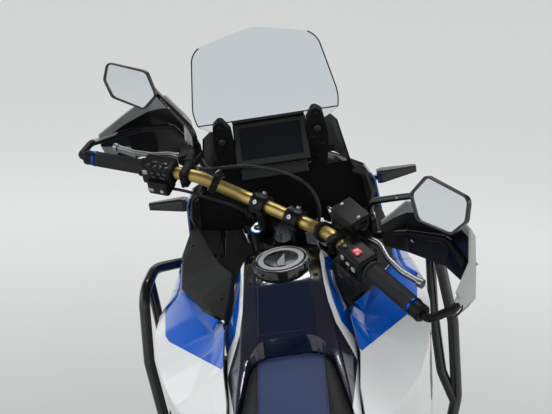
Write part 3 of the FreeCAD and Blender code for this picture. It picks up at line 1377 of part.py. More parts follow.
def make_seats():
    rider = [
        (352, [(0, 826, 0), (126, 826, 0), (150, 850, 12), (138, 878, 16), (0, 884, 0)]),
        (480, [(0, 822, 0), (128, 822, 0), (150, 838, 12), (136, 862, 16), (0, 872, 0)]),
        (600, [(0, 832, 0), (108, 832, 0), (122, 856, 12), (100, 888, 18), (0, 898, 0)]),
        (700, [(0, 858.4, 0), (104, 858.4, 0), (112, 884, 10), (84, 922, 20), (0, 932, 0)]),
        (800, [(0, 900.4, 0), (84, 900.4, 0), (90, 916, 8), (66, 948, 16), (0, 956, 0)]),
    ]
    solid("rider_seat", "frame", loft_along_x(rider).common(seat_plan(1)))
    pillion = [
        (-20, [(0, 890, 0), (84, 890, 0), (96, 906, 8), (84, 922, 10), (0, 928, 0)]),
        (120, [(0, 876, 0), (110, 876, 0), (128, 896, 10), (114, 922, 12), (0, 930, 0)]),
        (280, [(0, 862, 0), (122, 862, 0), (142, 884, 10), (130, 912, 14), (0, 920, 0)]),
        (344, [(0, 856, 0), (122, 856, 0), (140, 872, 8), (128, 888, 10), (0, 894, 0)]),
    ]
    solid("passenger_seat", "frame", loft_along_x(pillion))


def make_tail():
    stations = [
        (610, [(126, 828), (142, 796), (134, 760)]),
        (480, [(144, 814), (160, 790), (150, 756)]),
        (352, [(148, 818), (166, 796), (156, 766)]),
        (120, [(136, 868), (150, 850), (140, 826)]),
        (-120, [(100, 890), (112, 876), (104, 856)]),
        (-230, [(78, 896), (86, 882), (80, 866)]),
    ]
    solid("tail_fairing", "frame", pair(skin_along_x(stations[::-1], S.panel_wall)))
    solid("tail_lamp", "frame", rounded_block((-250, -222), (-60, 60), (868, 900), 6))
    arm = [
        (-180, 846), (-226, 852), (-300, 760), (-376, 640), (-372, 560), (-366, 560), (-368, 636),
        (-292, 750), (-220, 840), (-180, 836)]
    wire = Part.makePolygon([Vector(x, -62, z) for x, z in arm + arm[:1]])
    solid("plate_holder", "frame", Part.Face(wire).extrude(Vector(0, 124, 0)))


def make_rack():
    """Tube loop with a flat deck on top, drilled for a carrier, on four feet."""
    level = S.rack_level
    low = level - 2 - S.rack_tube_radius
    line = [(0, 102), (-60, 120), (-250, 114), (-322, 84)]
    loop = tube([(x, y, low) for x, y in line] + [(-330, 0, low)], S.rack_tube_radius, 40)
    edge = [(Vector(x, y, level - 6), 24) for x, y in line]
    twin = [(Vector(x, -y, level - 6), 24) for x, y in reversed(line)]
    ring = ring_of(edge + twin)
    deck = Part.Face(ring).extrude(Vector(0, 0, 6))
    for x in (-1, 1):
        for y in (-1, 1):
            spot = (S.rack_middle_x + x * S.rack_hole_spacing / 2, y * S.rack_hole_spacing / 2)
            deck = deck.cut(rod((*spot, level - 10), (*spot, level + 10), S.rack_hole_radius))
    feet = fused(rod((-40, 84, 884), (-40, 92, low + 4), 9), rod((-145, 71, 890), (-180, 88, low + 4), 9))
    solid("rear_rack", "frame", fused(loop, mirrored(loop), deck, feet, mirrored(feet)))


def make_swingarm():
    pivot_x = S.pivot_x + CHASSIS.Base.x
    level = S.rear_axle_z
    outline = ring_of([
        (Vector(-62, S.arm_inner, level - 24), 18),
        (Vector(40, S.arm_inner, level - 34), 0),
        (Vector(pivot_x - 86, S.arm_inner, S.pivot_z - S.arm_height / 2 - 10), 12),
        (Vector(pivot_x - 70, S.arm_inner, S.pivot_z - 10), 0),
        (Vector(pivot_x - 86, S.arm_inner, S.pivot_z + S.arm_height / 2 - 10), 12),
        (Vector(40, S.arm_inner, level + 36), 0),
        (Vector(-62, S.arm_inner, level + 26), 18),
    ])
    arm = Part.Face(outline).extrude(Vector(0, S.arm_width, 0))
    cross = block((pivot_x - 138, pivot_x - 90), (-S.arm_inner - 4, S.arm_inner + 4),
                  (S.pivot_z - 40, S.pivot_z + 20))
    right_link = block((pivot_x - 110, pivot_x), (-80, -56), (S.pivot_z - 20, S.pivot_z + 14))
    left_link = block((pivot_x - 110, pivot_x), (46, 70), (S.pivot_z - 20, S.pivot_z + 14))
    barrel = rod((pivot_x, -105, S.pivot_z), (pivot_x, 105, S.pivot_z), 20)
    hole = rod((pivot_x, -300, S.pivot_z), (pivot_x, 300, S.pivot_z), S.pivot_radius + S.pin_clearance)
    axle = rod((0, -200, level), (0, 200, level), S.rear_axle_radius + S.pin_clearance)
    guard_line = [(150, 452), (300, 462), (400, 458), (404, 462), (300, 466), (148, 456)]
    guard = Part.Face(Part.makePolygon([Vector(x, 84, z) for x, z in guard_line + guard_line[:1]]))
    guard = guard.extrude(Vector(0, S.arm_inner - 80, 0))
    tabs = [block((x, x + 16), (S.arm_inner, S.arm_inner + 4), (low, high))
            for x, low, high in ((176, 370, 457), (360, 400, 463))]
    body = fused(arm, mirrored(arm), cross, right_link, left_link, barrel, guard, *tabs).cut(hole).cut(axle)
    solid("swingarm", "rear", body)
    spindle = rod((pivot_x, -126, S.pivot_z), (pivot_x, 126, S.pivot_z), S.pivot_radius)
    solid("swingarm_spindle", "rear", spindle)


def make_rear_axle():
    outer = S.arm_inner + S.arm_width
    level = S.rear_axle_z
    left_end = S.chain_line + S.sprocket_thickness / 2 + S.slide_gap
    right_end = S.rear_disc_offset + S.disc_thickness / 2 + S.slide_gap
    bar = rod((0, -outer, level), (0, outer, level), S.rear_axle_radius)
    nut = rod((0, outer, level), (0, outer + 14, level), S.rear_axle_radius + 6)
    head = rod((0, -outer - 8, level), (0, -outer, level), S.rear_axle_radius + 6)
    left = rod((0, left_end, level), (0, S.arm_inner, level), S.rear_axle_radius + 6)
    right = rod((0, -S.arm_inner, level), (0, -right_end, level), S.rear_axle_radius + 6)
    solid("rear_axle", "rear", fused(bar, nut, head, left, right))


def make_rear_brake():
    y = -S.rear_disc_offset
    half = S.disc_thickness / 2 + 2
    body = rounded_block((40, 118), (y - 16, y + 16), (S.rear_axle_z + 52, S.rear_axle_z + 130), 7)
    slot = rod((0, y - half, S.rear_axle_z), (0, y + half, S.rear_axle_z), S.rear_disc_radius + 4)
    arm = block((60, 84), (-S.arm_inner, y - 12), (S.rear_axle_z + 10, S.rear_axle_z + 70))
    solid("rear_caliper", "rear", fused(body.cut(slot), arm))


def make_shock():
    shift = CHASSIS.Base.x
    low = Vector(S.pivot_x - 114 + shift, 0, S.pivot_z + 20.3)
    top = Vector(S.pivot_x - 60 + shift, 0, 744)
    along = (top - low).normalize()
    eye = Part.makeCylinder(14, 40, low + along * 14 + Vector(0, -20, 0), Vector(0, 1, 0))
    rod_part = Part.makeCylinder(10, top.distanceToPoint(low) - 30, low + along * 12, along)
    body = Part.makeCylinder(26, 120, low + along * 190, along)
    coils = [Part.makeTorus(33, 6, low + along * (52 + 32 * turn), along) for turn in range(6)]
    seat_low = Part.makeCylinder(40, 8, low + along * 36, along)
    seat_top = Part.makeCylinder(40, 10, low + along * 240, along)
    core = fused(eye, rod_part, body, seat_low, seat_top)
    solid("shock_absorber", "rear", Part.makeCompound([core] + coils))


def make_crash_bars():
    main = tube([(1281, 176, 985), (1281, 262, 990), (1216, 318, 1006), (1130, 336, 980), (1106, 350, 820),
                 (1092, 338, 640), (1050, 290, 520), (1010, 190, 404), (1010, 139, 402)],
                S.crash_bar_radius, 60)
    brace = tube([(1176, 326, 992), (1134, 312, 840), (1108, 312, 700), (1088, 332, 630)],
                 S.crash_bar_radius - 1, 60)
    solid("crash_bars", "frame", pair(fused(main, brace)))


def make_cockpit_stay():
    """Bracket on the front of the head tube that carries the lamps, the dash and the nose."""
    reach = HEAD.multVec(Vector(206, 0, 742))
    root = HEAD.multVec(Vector(S.head_tube_radius + S.slide_gap, 0, S.head_tube_bottom + 80))
    middle = HEAD.multVec(Vector(150, 0, S.head_tube_bottom + 82))
    spine = tube([root, middle, reach], 13, 30)
    cross = rod((reach.x, -158, reach.z), (reach.x, 158, reach.z), 9)
    drop = tube([(reach.x, 150, reach.z), (1300, 160, 1010), (1288, 163, 985)], 7, 20)
    rise = tube([(reach.x, 90, reach.z), (1330, 92, 1120), (1330, 92, 1177.7)], 8, 30)
    solid("cockpit_stay", "frame", fused(spine, cross, drop, rise, mirrored(drop), mirrored(rise)))


def make_pegs():
    arm = rod((500, 142, 350), (486, 190, 322), 10)
    plate = block((470, 520), (142, 148), (330, 420))
    peg = block((462, 508), (186, 286), (308, 322))
    pedal = tube([(500, -150, 332), (548, -216, 308), (640, -216, 298), (656, -238, 302)], 7, 30)
    lever = tube([(500, 150, 356), (560, 176, 356), (640, 176, 360), (655, 206, 364)], 7, 30)
    left = fused(arm, plate, peg, lever)
    right = fused(mirrored(fused(arm, plate, peg)), pedal)
    solid("footpegs", "frame", Part.makeCompound([left, right]))


# Side stand

def stand_points():
    """Pivot, foot on the floor, floor normal, and the hinge axis that folds the leg back."""
    up = STANCE.multiply(CHASSIS).inverse().Rotation.multVec(Vector(0, 0, 1))
    pivot = Vector(S.stand_pivot_x, S.stand_pivot_y, S.stand_pivot_z)
    floor = Vector(S.stand_foot_x, S.stand_foot_y, ground_height(S.stand_foot_x, S.stand_foot_y))
    leg = (floor - pivot).normalize()
    folded = Vector(-1, 0.1, -0.06).normalize()
    hinge = leg.cross(folded).normalize()
    return pivot, floor, up, hinge, degrees(leg.getAngle(folded))


def make_side_stand():
    pivot, floor, up, hinge, _ = stand_points()
    half = S.stand_leg_radius
    eye = Part.makeCylinder(half + 7, 2 * half, pivot - hinge * half, hinge)
    foot = Part.makeCylinder(S.stand_foot_radius, float(S.stand_foot_thickness), floor, up)
    top = floor + up * (S.stand_foot_thickness - 2)
    leg = Part.makeCylinder(half, top.distanceToPoint(pivot), pivot, top - pivot)
    hole = Part.makeCylinder(S.stand_pin_radius + S.pin_clearance, 100, pivot - hinge * 50, hinge)
    below = Part.makeCylinder(400, 400, floor - up * 400, up)
    solid("side_stand", "side_stand", fused(eye, foot, leg).cut(hole).cut(below))


def build_all():
    make_front_wheel()
    make_rear_wheel()
    make_chain()
    make_handlebar()
    make_switchgear()
    make_levers()
    make_triple_clamps()
    make_fork()
    make_front_axle()
    make_front_brakes()
    make_front_fender()
    make_hand_guards()
    make_cables()
    make_mirrors()
    make_main_frame()
    make_subframe()
    make_engine()
    make_radiators()
    make_skid_plate()
    make_exhaust()
    make_silencer()
    make_tank()
    make_cap()
    make_shrouds()
    make_nose()
    make_cockpit_trim()
    make_windscreen()
    make_instruments()
    make_signals()
    make_seats()
    make_tail()
    make_rack()
    make_swingarm()
    make_rear_axle()
    make_rear_brake()
    make_shock()
    make_crash_bars()
    make_cockpit_stay()
    make_pegs()
    make_side_stand()


def place_all(shift):
    whole = Placement(shift, Rotation()).multiply(STANCE)
    for item, carrier, local in NODES:
        item.Placement = whole.multiply(CARRIERS[carrier][1]).multiply(local)
    DOC.recompute()


def check_all():
    for item in DOC.Objects:
        if "Invalid" in item.State or "Error" in item.State:
            raise ValueError(f"{item.Name} failed: {item.State}")
    bad = [item.Label for item, _, _ in NODES if item.Shape.isNull() or not item.Shape.isValid()]
    if bad:
        raise ValueError(f"no valid shape: {bad}")


def report(shift):
    """Joint axes in the machine's own frame, for the record."""
    place = Placement(shift, Rotation()).multiply(STANCE)
    pivot, _, _, stand_hinge, stand_swing = stand_points()
    hinge = Vector(S.cap_radius, 0, 1)
    print("STAND_SWING", f"{stand_swing:.3f}")
    axes = {
        "steering": (CHASSIS.multiply(HEAD), Vector(), Vector(0, 0, 1)),
        "front_wheel": (FRONT_WHEEL, Vector(), Vector(0, 1, 0)),
        "rear_wheel": (REAR_WHEEL, Vector(), Vector(0, 1, 0)),
        "side_stand": (CHASSIS, pivot, stand_hinge),
        "fuel_cap": (CHASSIS.multiply(CAP), hinge, Vector(0, 1, 0)),
        "neck": (CHASSIS.multiply(CAP), Vector(0, 0, -S.neck_depth / 2), Vector(0, 0, 1)),
        "rack": (CHASSIS, Vector(S.rack_middle_x, 0, S.rack_level), Vector(0, 0, 1)),
        "seat": (CHASSIS, Vector(430, 0, 872), Vector(0, 0, 1)),
        "bar": (STEERING, Vector(0, 0, S.bar_level), Vector(0, 0, 1)),
    }
    for name, (local, spot, axis) in axes.items():
        whole = place.multiply(local)
        spot = whole.multVec(spot)
        axis = whole.Rotation.multVec(axis)
        print("AXIS", name, *(f"{number:.5f}" for number in (*spot, *axis)))
    for label, vector in (("base", place.Base), ("x", place.Rotation.multVec(Vector(1, 0, 0))),
                          ("y", place.Rotation.multVec(Vector(0, 1, 0))),
                          ("z", place.Rotation.multVec(Vector(0, 0, 1)))):
        print("STANCE", label, *(f"{number:.6f}" for number in vector))


def main():
    build_all()
    DOC.recompute()
    check_all()
    place_all(Vector())
    box = FreeCAD.BoundBox()
    for item, _, _ in NODES:
        box.add(item.Shape.BoundBox)
    shift = Vector(-box.Center.x, -box.Center.y, 0)
    place_all(shift)
    check_all()
    os.makedirs("parts", exist_ok=True)
    for item, carrier, _ in NODES:
        item.Shape.exportStep(f"parts/{item.Label}.step")
        print("NODE", item.Label, CARRIERS[carrier][0], len(item.Shape.Solids), f"{item.Shape.Volume:.0f}")
    print("BOX", box)
    report(shift)


main()
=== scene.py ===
# %% [markdown]
# # An adventure motorcycle on its side stand
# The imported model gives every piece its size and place. This script gives each one the surface that the
# real piece has: paint, moulded plastic, rubber, anodised and cast metal, and a sewn seat. It also adds what
# is too small or too soft for the solids, such as bolts, tread blocks, seams and switches.

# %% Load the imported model
import bpy
import bmesh
import json
from math import acos, atan2, cos, pi, radians, sin, sqrt
from mathutils import Matrix, Vector
from mathutils.bvhtree import BVHTree

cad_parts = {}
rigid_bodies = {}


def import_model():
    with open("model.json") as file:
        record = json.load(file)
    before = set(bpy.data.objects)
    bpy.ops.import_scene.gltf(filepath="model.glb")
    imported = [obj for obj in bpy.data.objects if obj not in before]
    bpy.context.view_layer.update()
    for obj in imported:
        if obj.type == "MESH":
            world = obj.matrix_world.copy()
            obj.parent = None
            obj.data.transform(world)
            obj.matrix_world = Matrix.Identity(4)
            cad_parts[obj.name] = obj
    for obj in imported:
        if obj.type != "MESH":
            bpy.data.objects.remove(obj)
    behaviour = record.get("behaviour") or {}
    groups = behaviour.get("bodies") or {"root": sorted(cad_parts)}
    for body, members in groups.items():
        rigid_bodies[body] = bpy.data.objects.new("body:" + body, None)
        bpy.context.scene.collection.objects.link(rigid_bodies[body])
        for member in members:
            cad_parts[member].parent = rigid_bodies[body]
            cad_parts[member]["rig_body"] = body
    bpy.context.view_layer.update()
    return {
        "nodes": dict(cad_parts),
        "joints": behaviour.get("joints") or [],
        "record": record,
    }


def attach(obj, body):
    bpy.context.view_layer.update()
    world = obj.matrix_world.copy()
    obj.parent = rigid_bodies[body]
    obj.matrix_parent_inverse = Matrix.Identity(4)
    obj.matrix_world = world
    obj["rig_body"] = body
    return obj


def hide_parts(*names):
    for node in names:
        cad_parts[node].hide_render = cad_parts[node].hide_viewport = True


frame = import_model()
nodes = frame["nodes"]
joints = {joint["name"]: joint for joint in frame["joints"]}
scene = bpy.context.scene
print("pieces in the model:", len(nodes))

# %% [markdown]
# ## Frames of reference
# The machine leans on its stand with the bar turned, so nothing on it is level. Two matrices turn
# millimetres measured on the upright, straight machine into metres where it stands: one for the chassis
# and one for all that turns with the bar. Both come from the joints' axes, so they follow the model.

# %% Chassis and steering frames
RAKE = radians(27.5)
FRONT_RADIUS = 348
REAR_RADIUS = 334
LEAD = 60.5  # front axle ahead of the steering axis

rear = joints["rear_wheel_turn"]
steer = joints["steering_turn"]
wheel = joints["front_wheel_turn"]
left = Vector(rear["axis"]).normalized()
mast = Vector(steer["axis"]).normalized()
up = Matrix.Rotation(RAKE, 3, left) @ mast
ahead = left.cross(up)
base = Vector(rear["pos_m"]) - up * REAR_RADIUS / 1000


def frame_of(origin, x, y, z):
    """The matrix that turns millimetres along x, y and z from an origin into metres on the floor."""
    matrix = Matrix((x, y, z)).transposed() * 0.001
    return Matrix.Translation(origin) @ matrix.to_4x4()


CHASSIS = frame_of(base, ahead, left, up)
side = Vector(wheel["axis"]).normalized()
front = side.cross(mast)
BAR = frame_of(Vector(wheel["pos_m"]) - front * LEAD / 1000, front, side, mast)
FRONT_AXLE = BAR @ Matrix.Translation((LEAD, 0, 0))
REAR_AXLE = CHASSIS @ Matrix.Translation((0, 0, REAR_RADIUS))
print("chassis origin", [round(v, 4) for v in base])
print("bar frame origin", [round(v, 4) for v in BAR.translation])

# %% [markdown]
# ## Camera
# The photograph is taken from above and behind the seat, standing, with a short telephoto lens. The camera
# stands at that place, and looks over the tank to the windscreen.

# %% Camera
PHOTO_WIDTH = 552
MIDDLE_COLUMN = 276
MIDDLE_ROW = 207
FOCAL_PIXELS = 871.6
SENSOR = 36
EYE = Vector((-719.75, -116.97, 1658.79))
LOOK = Vector((0.96055, 0.0633879, -0.2707871))
LEVEL = Vector((0.0215786, -0.9877304, -0.1546709))
DOWN = Vector((-0.2772689, 0.1427259, -0.9501322))

camera_data = bpy.data.cameras.new("rider_view")
camera_data.sensor_width = SENSOR
camera_data.lens = FOCAL_PIXELS / PHOTO_WIDTH * SENSOR
camera_data.clip_end = 400
camera = bpy.data.objects.new("rider_view", camera_data)
scene.collection.objects.link(camera)
turn = CHASSIS.to_3x3() * 1000
right = (turn @ LEVEL).normalized()
back = -(turn @ LOOK).normalized()
above = back.cross(right)
aim = Matrix((right, above, back)).transposed().to_4x4()
camera.matrix_world = Matrix.Translation(CHASSIS @ EYE) @ aim
scene.camera = camera
scene.view_settings.view_transform = "Standard"
print("lens", round(camera_data.lens, 2), "mm")

# %% [markdown]
# ## Floor and light
# A pale studio floor and four large, soft lamps. Paint and metal show what stands round them, so the world is
# pale at the height of the walls and darker overhead, where a workshop has its roof.

# %% Functions for colours and nodes


def srgb(code):
    """A web colour such as #1A2B3C as the linear colour that the shader wants."""
    values = [int(code[place:place + 2], 16) / 255 for place in (1, 3, 5)]
    return tuple([v / 12.92 if v <= 0.04045 else ((v + 0.055) / 1.055) ** 2.4 for v in values] + [1.0])


def add(tree, kind, inputs=None, **settings):
    """Add one node, with its settings, the values of its inputs and its links."""
    made = tree.nodes.new(kind)
    for name, value in settings.items():
        setattr(made, name, value)
    for key, value in (inputs or {}).items():
        if isinstance(value, bpy.types.NodeSocket):
            tree.links.new(value, made.inputs[key])
        else:
            made.inputs[key].default_value = value
    return made


def mixed(tree, factor, first, second):
    """Two colours, blended by a factor."""
    return add(tree, "ShaderNodeMix", {0: factor, 6: first, 7: second}, data_type="RGBA").outputs[2]


# %% [markdown]
# The roof shows only in reflections, so paint keeps a dark upper edge while the picture's background stays
# pale. The floor's colour is painted brighter with distance: painted shade near the machine and painted light
# further off, as in front of a lit wall.

# %% World, floor and lamps
world = bpy.data.worlds.new("studio")
world.use_nodes = True
scene.world = world
tree = world.node_tree
tree.nodes.clear()
rays = add(tree, "ShaderNodeLightPath")
sight = add(tree, "ShaderNodeTexCoord")
height = add(tree, "ShaderNodeSeparateXYZ", {0: sight.outputs["Generated"]})
roof = add(tree, "ShaderNodeMapRange", {
    "Value": height.outputs[2], "From Min": 0.2, "From Max": 0.6, "To Min": 1.0, "To Max": 0.12})
mirrored = add(tree, "ShaderNodeMix", {
    0: rays.outputs["Is Glossy Ray"], 2: 1.0, 3: roof.outputs[0]}, data_type="FLOAT")
glow = add(tree, "ShaderNodeBackground", {"Color": srgb("#E9EAEA"), "Strength": mirrored.outputs[0]})
add(tree, "ShaderNodeOutputWorld", {"Surface": glow.outputs[0]})

floor_mesh = bpy.data.meshes.new("floor")
reach = 160
corners = [(-reach, -reach, 0), (reach, -reach, 0), (reach, reach, 0), (-reach, reach, 0)]
floor_mesh.from_pydata(corners, [], [(0, 1, 2, 3)])
floor = bpy.data.objects.new("floor", floor_mesh)
scene.collection.objects.link(floor)
paint = bpy.data.materials.new("pale floor with painted light falloff")
paint.use_nodes = True
tree = paint.node_tree
where = add(tree, "ShaderNodeTexCoord").outputs["Object"]
away = add(tree, "ShaderNodeVectorMath", {0: where}, operation="LENGTH").outputs["Value"]
# Painted light and shade: the floor's colour is darker near the machine and paler further off
far = add(tree, "ShaderNodeMapRange", {"Value": away, "From Min": 1.0, "From Max": 4.5},
          interpolation_type="SMOOTHSTEP").outputs[0]
shader = tree.nodes["Principled BSDF"]
tree.links.new(mixed(tree, far, srgb("#B9BCBB"), srgb("#EFF0F0")), shader.inputs["Base Color"])
shader.inputs["Roughness"].default_value = 0.6
floor_mesh.materials.append(paint)


def lamp(name, spot, target, size, watts):
    """An area lamp that faces a target."""
    data = bpy.data.lights.new(name, "AREA")
    data.shape = "RECTANGLE"
    data.size, data.size_y = size
    data.energy = watts
    made = bpy.data.objects.new(name, data)
    scene.collection.objects.link(made)
    spot = Vector(spot)
    aim = (Vector(target) - spot).to_track_quat("-Z", "Y")
    made.matrix_world = Matrix.Translation(spot) @ aim.to_matrix().to_4x4()


lamp("overhead softbox", (1.7, 0.3, 4.2), (0, 0, 0.6), (1.6, 0.6), 36)
lamp("window side", (-0.6, 3.4, 2.2), (0, 0, 0.9), (2.6, 1.8), 18)
lamp("room side", (-0.8, -3.4, 2.0), (0, 0, 0.9), (2.6, 1.8), 14)
lamp("front fill", (2.8, 0.2, 3.4), (0, 0, 0.9), (2.2, 1.0), 12)
print("lamps", len(bpy.data.lights))

# %% [markdown]
# ## Finishes
# Every finish starts from one recipe: a base colour that drifts a little over the piece, a roughness that
# drifts with it, and a fine bump from the way the surface was made. Sizes are real ones in millimetres.

# %% The recipe for a finish
slots = {row["node"]: row["material_slot"] for row in frame["record"]["subparts"]}


def coordinates(tree, place):
    """Object coordinates turned to metres in one of the machine's own frames."""
    where = add(tree, "ShaderNodeTexCoord")
    turn = (place.to_3x3() * 1000).transposed()
    shift = -(turn @ place.translation)
    return add(tree, "ShaderNodeMapping", {
        "Vector": where.outputs["Object"], "Location": shift, "Rotation": turn.to_euler("XYZ")}).outputs[0]


def noise(tree, vector, size, detail=2.0):
    """Noise whose blobs are about size millimetres across."""
    return add(tree, "ShaderNodeTexNoise", {"Vector": vector, "Scale": 500 / size, "Detail": detail}).outputs[0]


def math(tree, operation, first, second=0.0, third=0.0):
    return add(tree, "ShaderNodeMath", {0: first, 1: second, 2: third}, operation=operation).outputs[0]


def dot(tree, vector, axis):
    return add(tree, "ShaderNodeVectorMath", {0: vector, 1: axis}, operation="DOT_PRODUCT").outputs["Value"]


def in_mm(tree, vector):
    """The x, y and z of a vector in metres, as millimetres."""
    return [math(tree, "MULTIPLY", part, 1000.0)
            for part in add(tree, "ShaderNodeSeparateXYZ", {0: vector}).outputs]


def curve(tree, value, knots, handle=None):
    """What a bent line says for a value, from knots of (value, answer) that lie between 0 and 1."""
    made = add(tree, "ShaderNodeFloatCurve", {"Value": value})
    points = made.mapping.curves[0].points
    points[0].location, points[1].location = knots[0], knots[-1]
    for knot in knots[1:-1]:
        points.new(*knot)
    if handle:
        for point in points:
            point.handle_type = handle
    made.mapping.update()
    return made.outputs[0]


def finish(name, code, rough, grain=1.2, depth=0.0, drift=0.08, stretch=None, zones=None, **sockets):
    """A finish. grain is the size of its fine texture in mm and depth that texture's height in mm;
    drift is how far colour and roughness wander; stretch draws the texture out, as brushing does;
    zones(tree, where) gives rows of (mask, colour, roughness) that are painted over the base."""
    made = bpy.data.materials.new(name)
    made.use_nodes = True
    tree = made.node_tree
    shader = tree.nodes["Principled BSDF"]
    for key, value in sockets.items():
        shader.inputs[key.replace("_", " ")].default_value = value
    where = coordinates(tree, CHASSIS)
    wide = noise(tree, where, 90)
    colour, roughness = srgb(code), rough
    for mask, over, over_rough in (zones(tree, where) if zones else ()):
        colour = mixed(tree, mask, colour, srgb(over))
        roughness = add(tree, "ShaderNodeMapRange", {
            "Value": mask, "To Min": roughness, "To Max": over_rough}).outputs[0]
    shade = math(tree, "MULTIPLY_ADD", wide, 2 * drift, 1 - drift)
    tinted = add(tree, "ShaderNodeVectorMath", {0: colour if zones else colour[:3], "Scale": shade},
                 operation="SCALE").outputs[0]
    tree.links.new(tinted, shader.inputs["Base Color"])
    if stretch:
        where = add(tree, "ShaderNodeMapping", {"Vector": where, "Scale": stretch}).outputs[0]
    fine = noise(tree, where, grain, 3.0)
    spread = math(tree, "MULTIPLY_ADD", fine, 4 * drift, 1 - 2 * drift)
    tree.links.new(math(tree, "MULTIPLY", spread, roughness), shader.inputs["Roughness"])
    if depth:
        bump = add(tree, "ShaderNodeBump", {"Height": fine, "Distance": depth / 1000, "Strength": 0.6})
        tree.links.new(bump.outputs[0], shader.inputs["Normal"])
    return made


# %% [markdown]
# ## Where the colours meet
# The covers change colour along printed lines. Those lines were measured in the photograph, so the masks
# are drawn in its picture plane, in pixels, and thrown from the camera onto the left cover. A point of the
# right cover takes the colour of its mirror image on the left. The line is given as the pixel column at
# which it lies for each pixel row.

# %% Masks in the picture plane
ROWS = (230, 480)
COLUMNS = (100, 300)
SEAM = 64  # from the seat's middle line


def picture_plane(tree, where):
    """Pixel column and row of a point, after it is mirrored to the left side."""
    split = add(tree, "ShaderNodeSeparateXYZ", {0: where})
    mirrored = add(tree, "ShaderNodeCombineXYZ", {
        0: split.outputs[0], 1: math(tree, "ABSOLUTE", split.outputs[1]), 2: split.outputs[2]})
    ray = add(tree, "ShaderNodeVectorMath", {0: mirrored.outputs[0], 1: EYE / 1000},
              operation="SUBTRACT").outputs[0]
    distance = dot(tree, ray, LOOK)
    across = math(tree, "DIVIDE", dot(tree, ray, LEVEL), distance)
    below = math(tree, "DIVIDE", dot(tree, ray, DOWN), distance)
    column = math(tree, "MULTIPLY_ADD", across, FOCAL_PIXELS, MIDDLE_COLUMN)
    row = math(tree, "MULTIPLY_ADD", below, FOCAL_PIXELS, MIDDLE_ROW)
    return column, row


def line(tree, row, knots):
    """The column of a bent line at each row, from knots of (row, column)."""
    share = add(tree, "ShaderNodeMapRange", {"Value": row, "From Min": ROWS[0], "From Max": ROWS[1]})
    wide = COLUMNS[1] - COLUMNS[0]
    spots = [((r - ROWS[0]) / (ROWS[1] - ROWS[0]), (c - COLUMNS[0]) / wide) for r, c in knots]
    return math(tree, "MULTIPLY_ADD", curve(tree, share.outputs[0], spots, "VECTOR"), wide, COLUMNS[0])


def past(tree, value, limit, soft=0.25):
    """1 where a value is more than its limit and 0 where it is less, with a soft edge."""
    return add(tree, "ShaderNodeMapRange", {
        "Value": math(tree, "SUBTRACT", value, limit), "From Min": -soft, "From Max": soft}).outputs[0]


def near(tree, value, centre, reach, soft=0.25):
    """1 where a value lies within reach of a centre."""
    return past(tree, reach, math(tree, "ABSOLUTE", math(tree, "SUBTRACT", value, centre)), soft)


def both(tree, *masks):
    """1 only where every mask is 1."""
    result = masks[0]
    for mask in masks[1:]:
        result = math(tree, "MULTIPLY", result, mask)
    return result


def facing(tree, axis, limit, soft=0.05):
    """1 on faces that look along an axis by more than a limit."""
    normal = add(tree, "ShaderNodeNewGeometry").outputs["True Normal"]
    return past(tree, dot(tree, normal, axis), limit, soft)


def facing_in(tree, where):
    """1 on faces that look towards the machine's middle plane: the inside of a moulded shell."""
    normal = add(tree, "ShaderNodeNewGeometry").outputs["True Normal"]
    hand = math(tree, "SIGN", add(tree, "ShaderNodeSeparateXYZ", {0: where}).outputs[1])
    return past(tree, math(tree, "MULTIPLY", hand, dot(tree, normal, -left)), 0.3, 0.05)


# %% [markdown]
# ## What each cover shows
# The knots below are the printed lines, top to bottom. On the sides, which the photograph doesn't show, the
# faces behind a slanting line are drawn grey and a red flash is drawn, in millimetres of the chassis.

# %% Zones of each cover
BLUE_LEFT = [(230, 186), (246, 185), (257, 168.4), (300, 165), (336, 165.4), (341.7, 169), (369.6, 221.5),
             (480, 222)]
COVER_RIGHT = [(230, 252), (348, 250), (352, 230), (369.6, 221.5), (480, 220)]
BLUE_RIGHT = [(230, 242), (279, 240.5), (310, 239), (335.8, 235.1), (369.6, 221.5), (480, 220)]
NAVY_LEFT = [(230, 246), (278, 243.5), (312, 242.4), (336, 239.4), (366, 230.6), (378, 227.5), (414, 233.6),
             (480, 246)]
BLUE_END = 369.6  # the row where the blue ends in a point
BLUE, GUARD_BLACK, SHELL_BLACK = "#0056BE", "#0B0B0B", "#101113"


def panel_zones(tree, where):
    """The black inlay ends at a gloss rim; what lies below that line has the cover's blue."""
    column, row = picture_plane(tree, where)
    below = math(tree, "SUBTRACT", math(tree, "MULTIPLY_ADD", column, -0.552, row), 196.4)
    return [(past(tree, below, 0.0), "#08080A", 0.16), (past(tree, below, 3.4), BLUE, 0.2)]


def guard_zones(tree, where):
    """The shield is silver outside and along its upper band, and black inside below that."""
    x, y, z = in_mm(tree, coordinates(tree, BAR))
    share = add(tree, "ShaderNodeMapRange", {
        "Value": math(tree, "ABSOLUTE", y), "From Min": 250, "From Max": 490}).outputs[0]
    edge = curve(tree, share, [(0, 0.42), (0.17, 0.62), (0.5, 0.72), (0.8, 0.46), (1, 0.2)])
    low = past(tree, math(tree, "MULTIPLY_ADD", edge, 80.0, 955.0), z, 0.6)
    return [(both(tree, facing(tree, -front, 0.08, 0.04), low), GUARD_BLACK, 0.45),
            (facing(tree, -mast, 0.45), GUARD_BLACK, 0.45)]


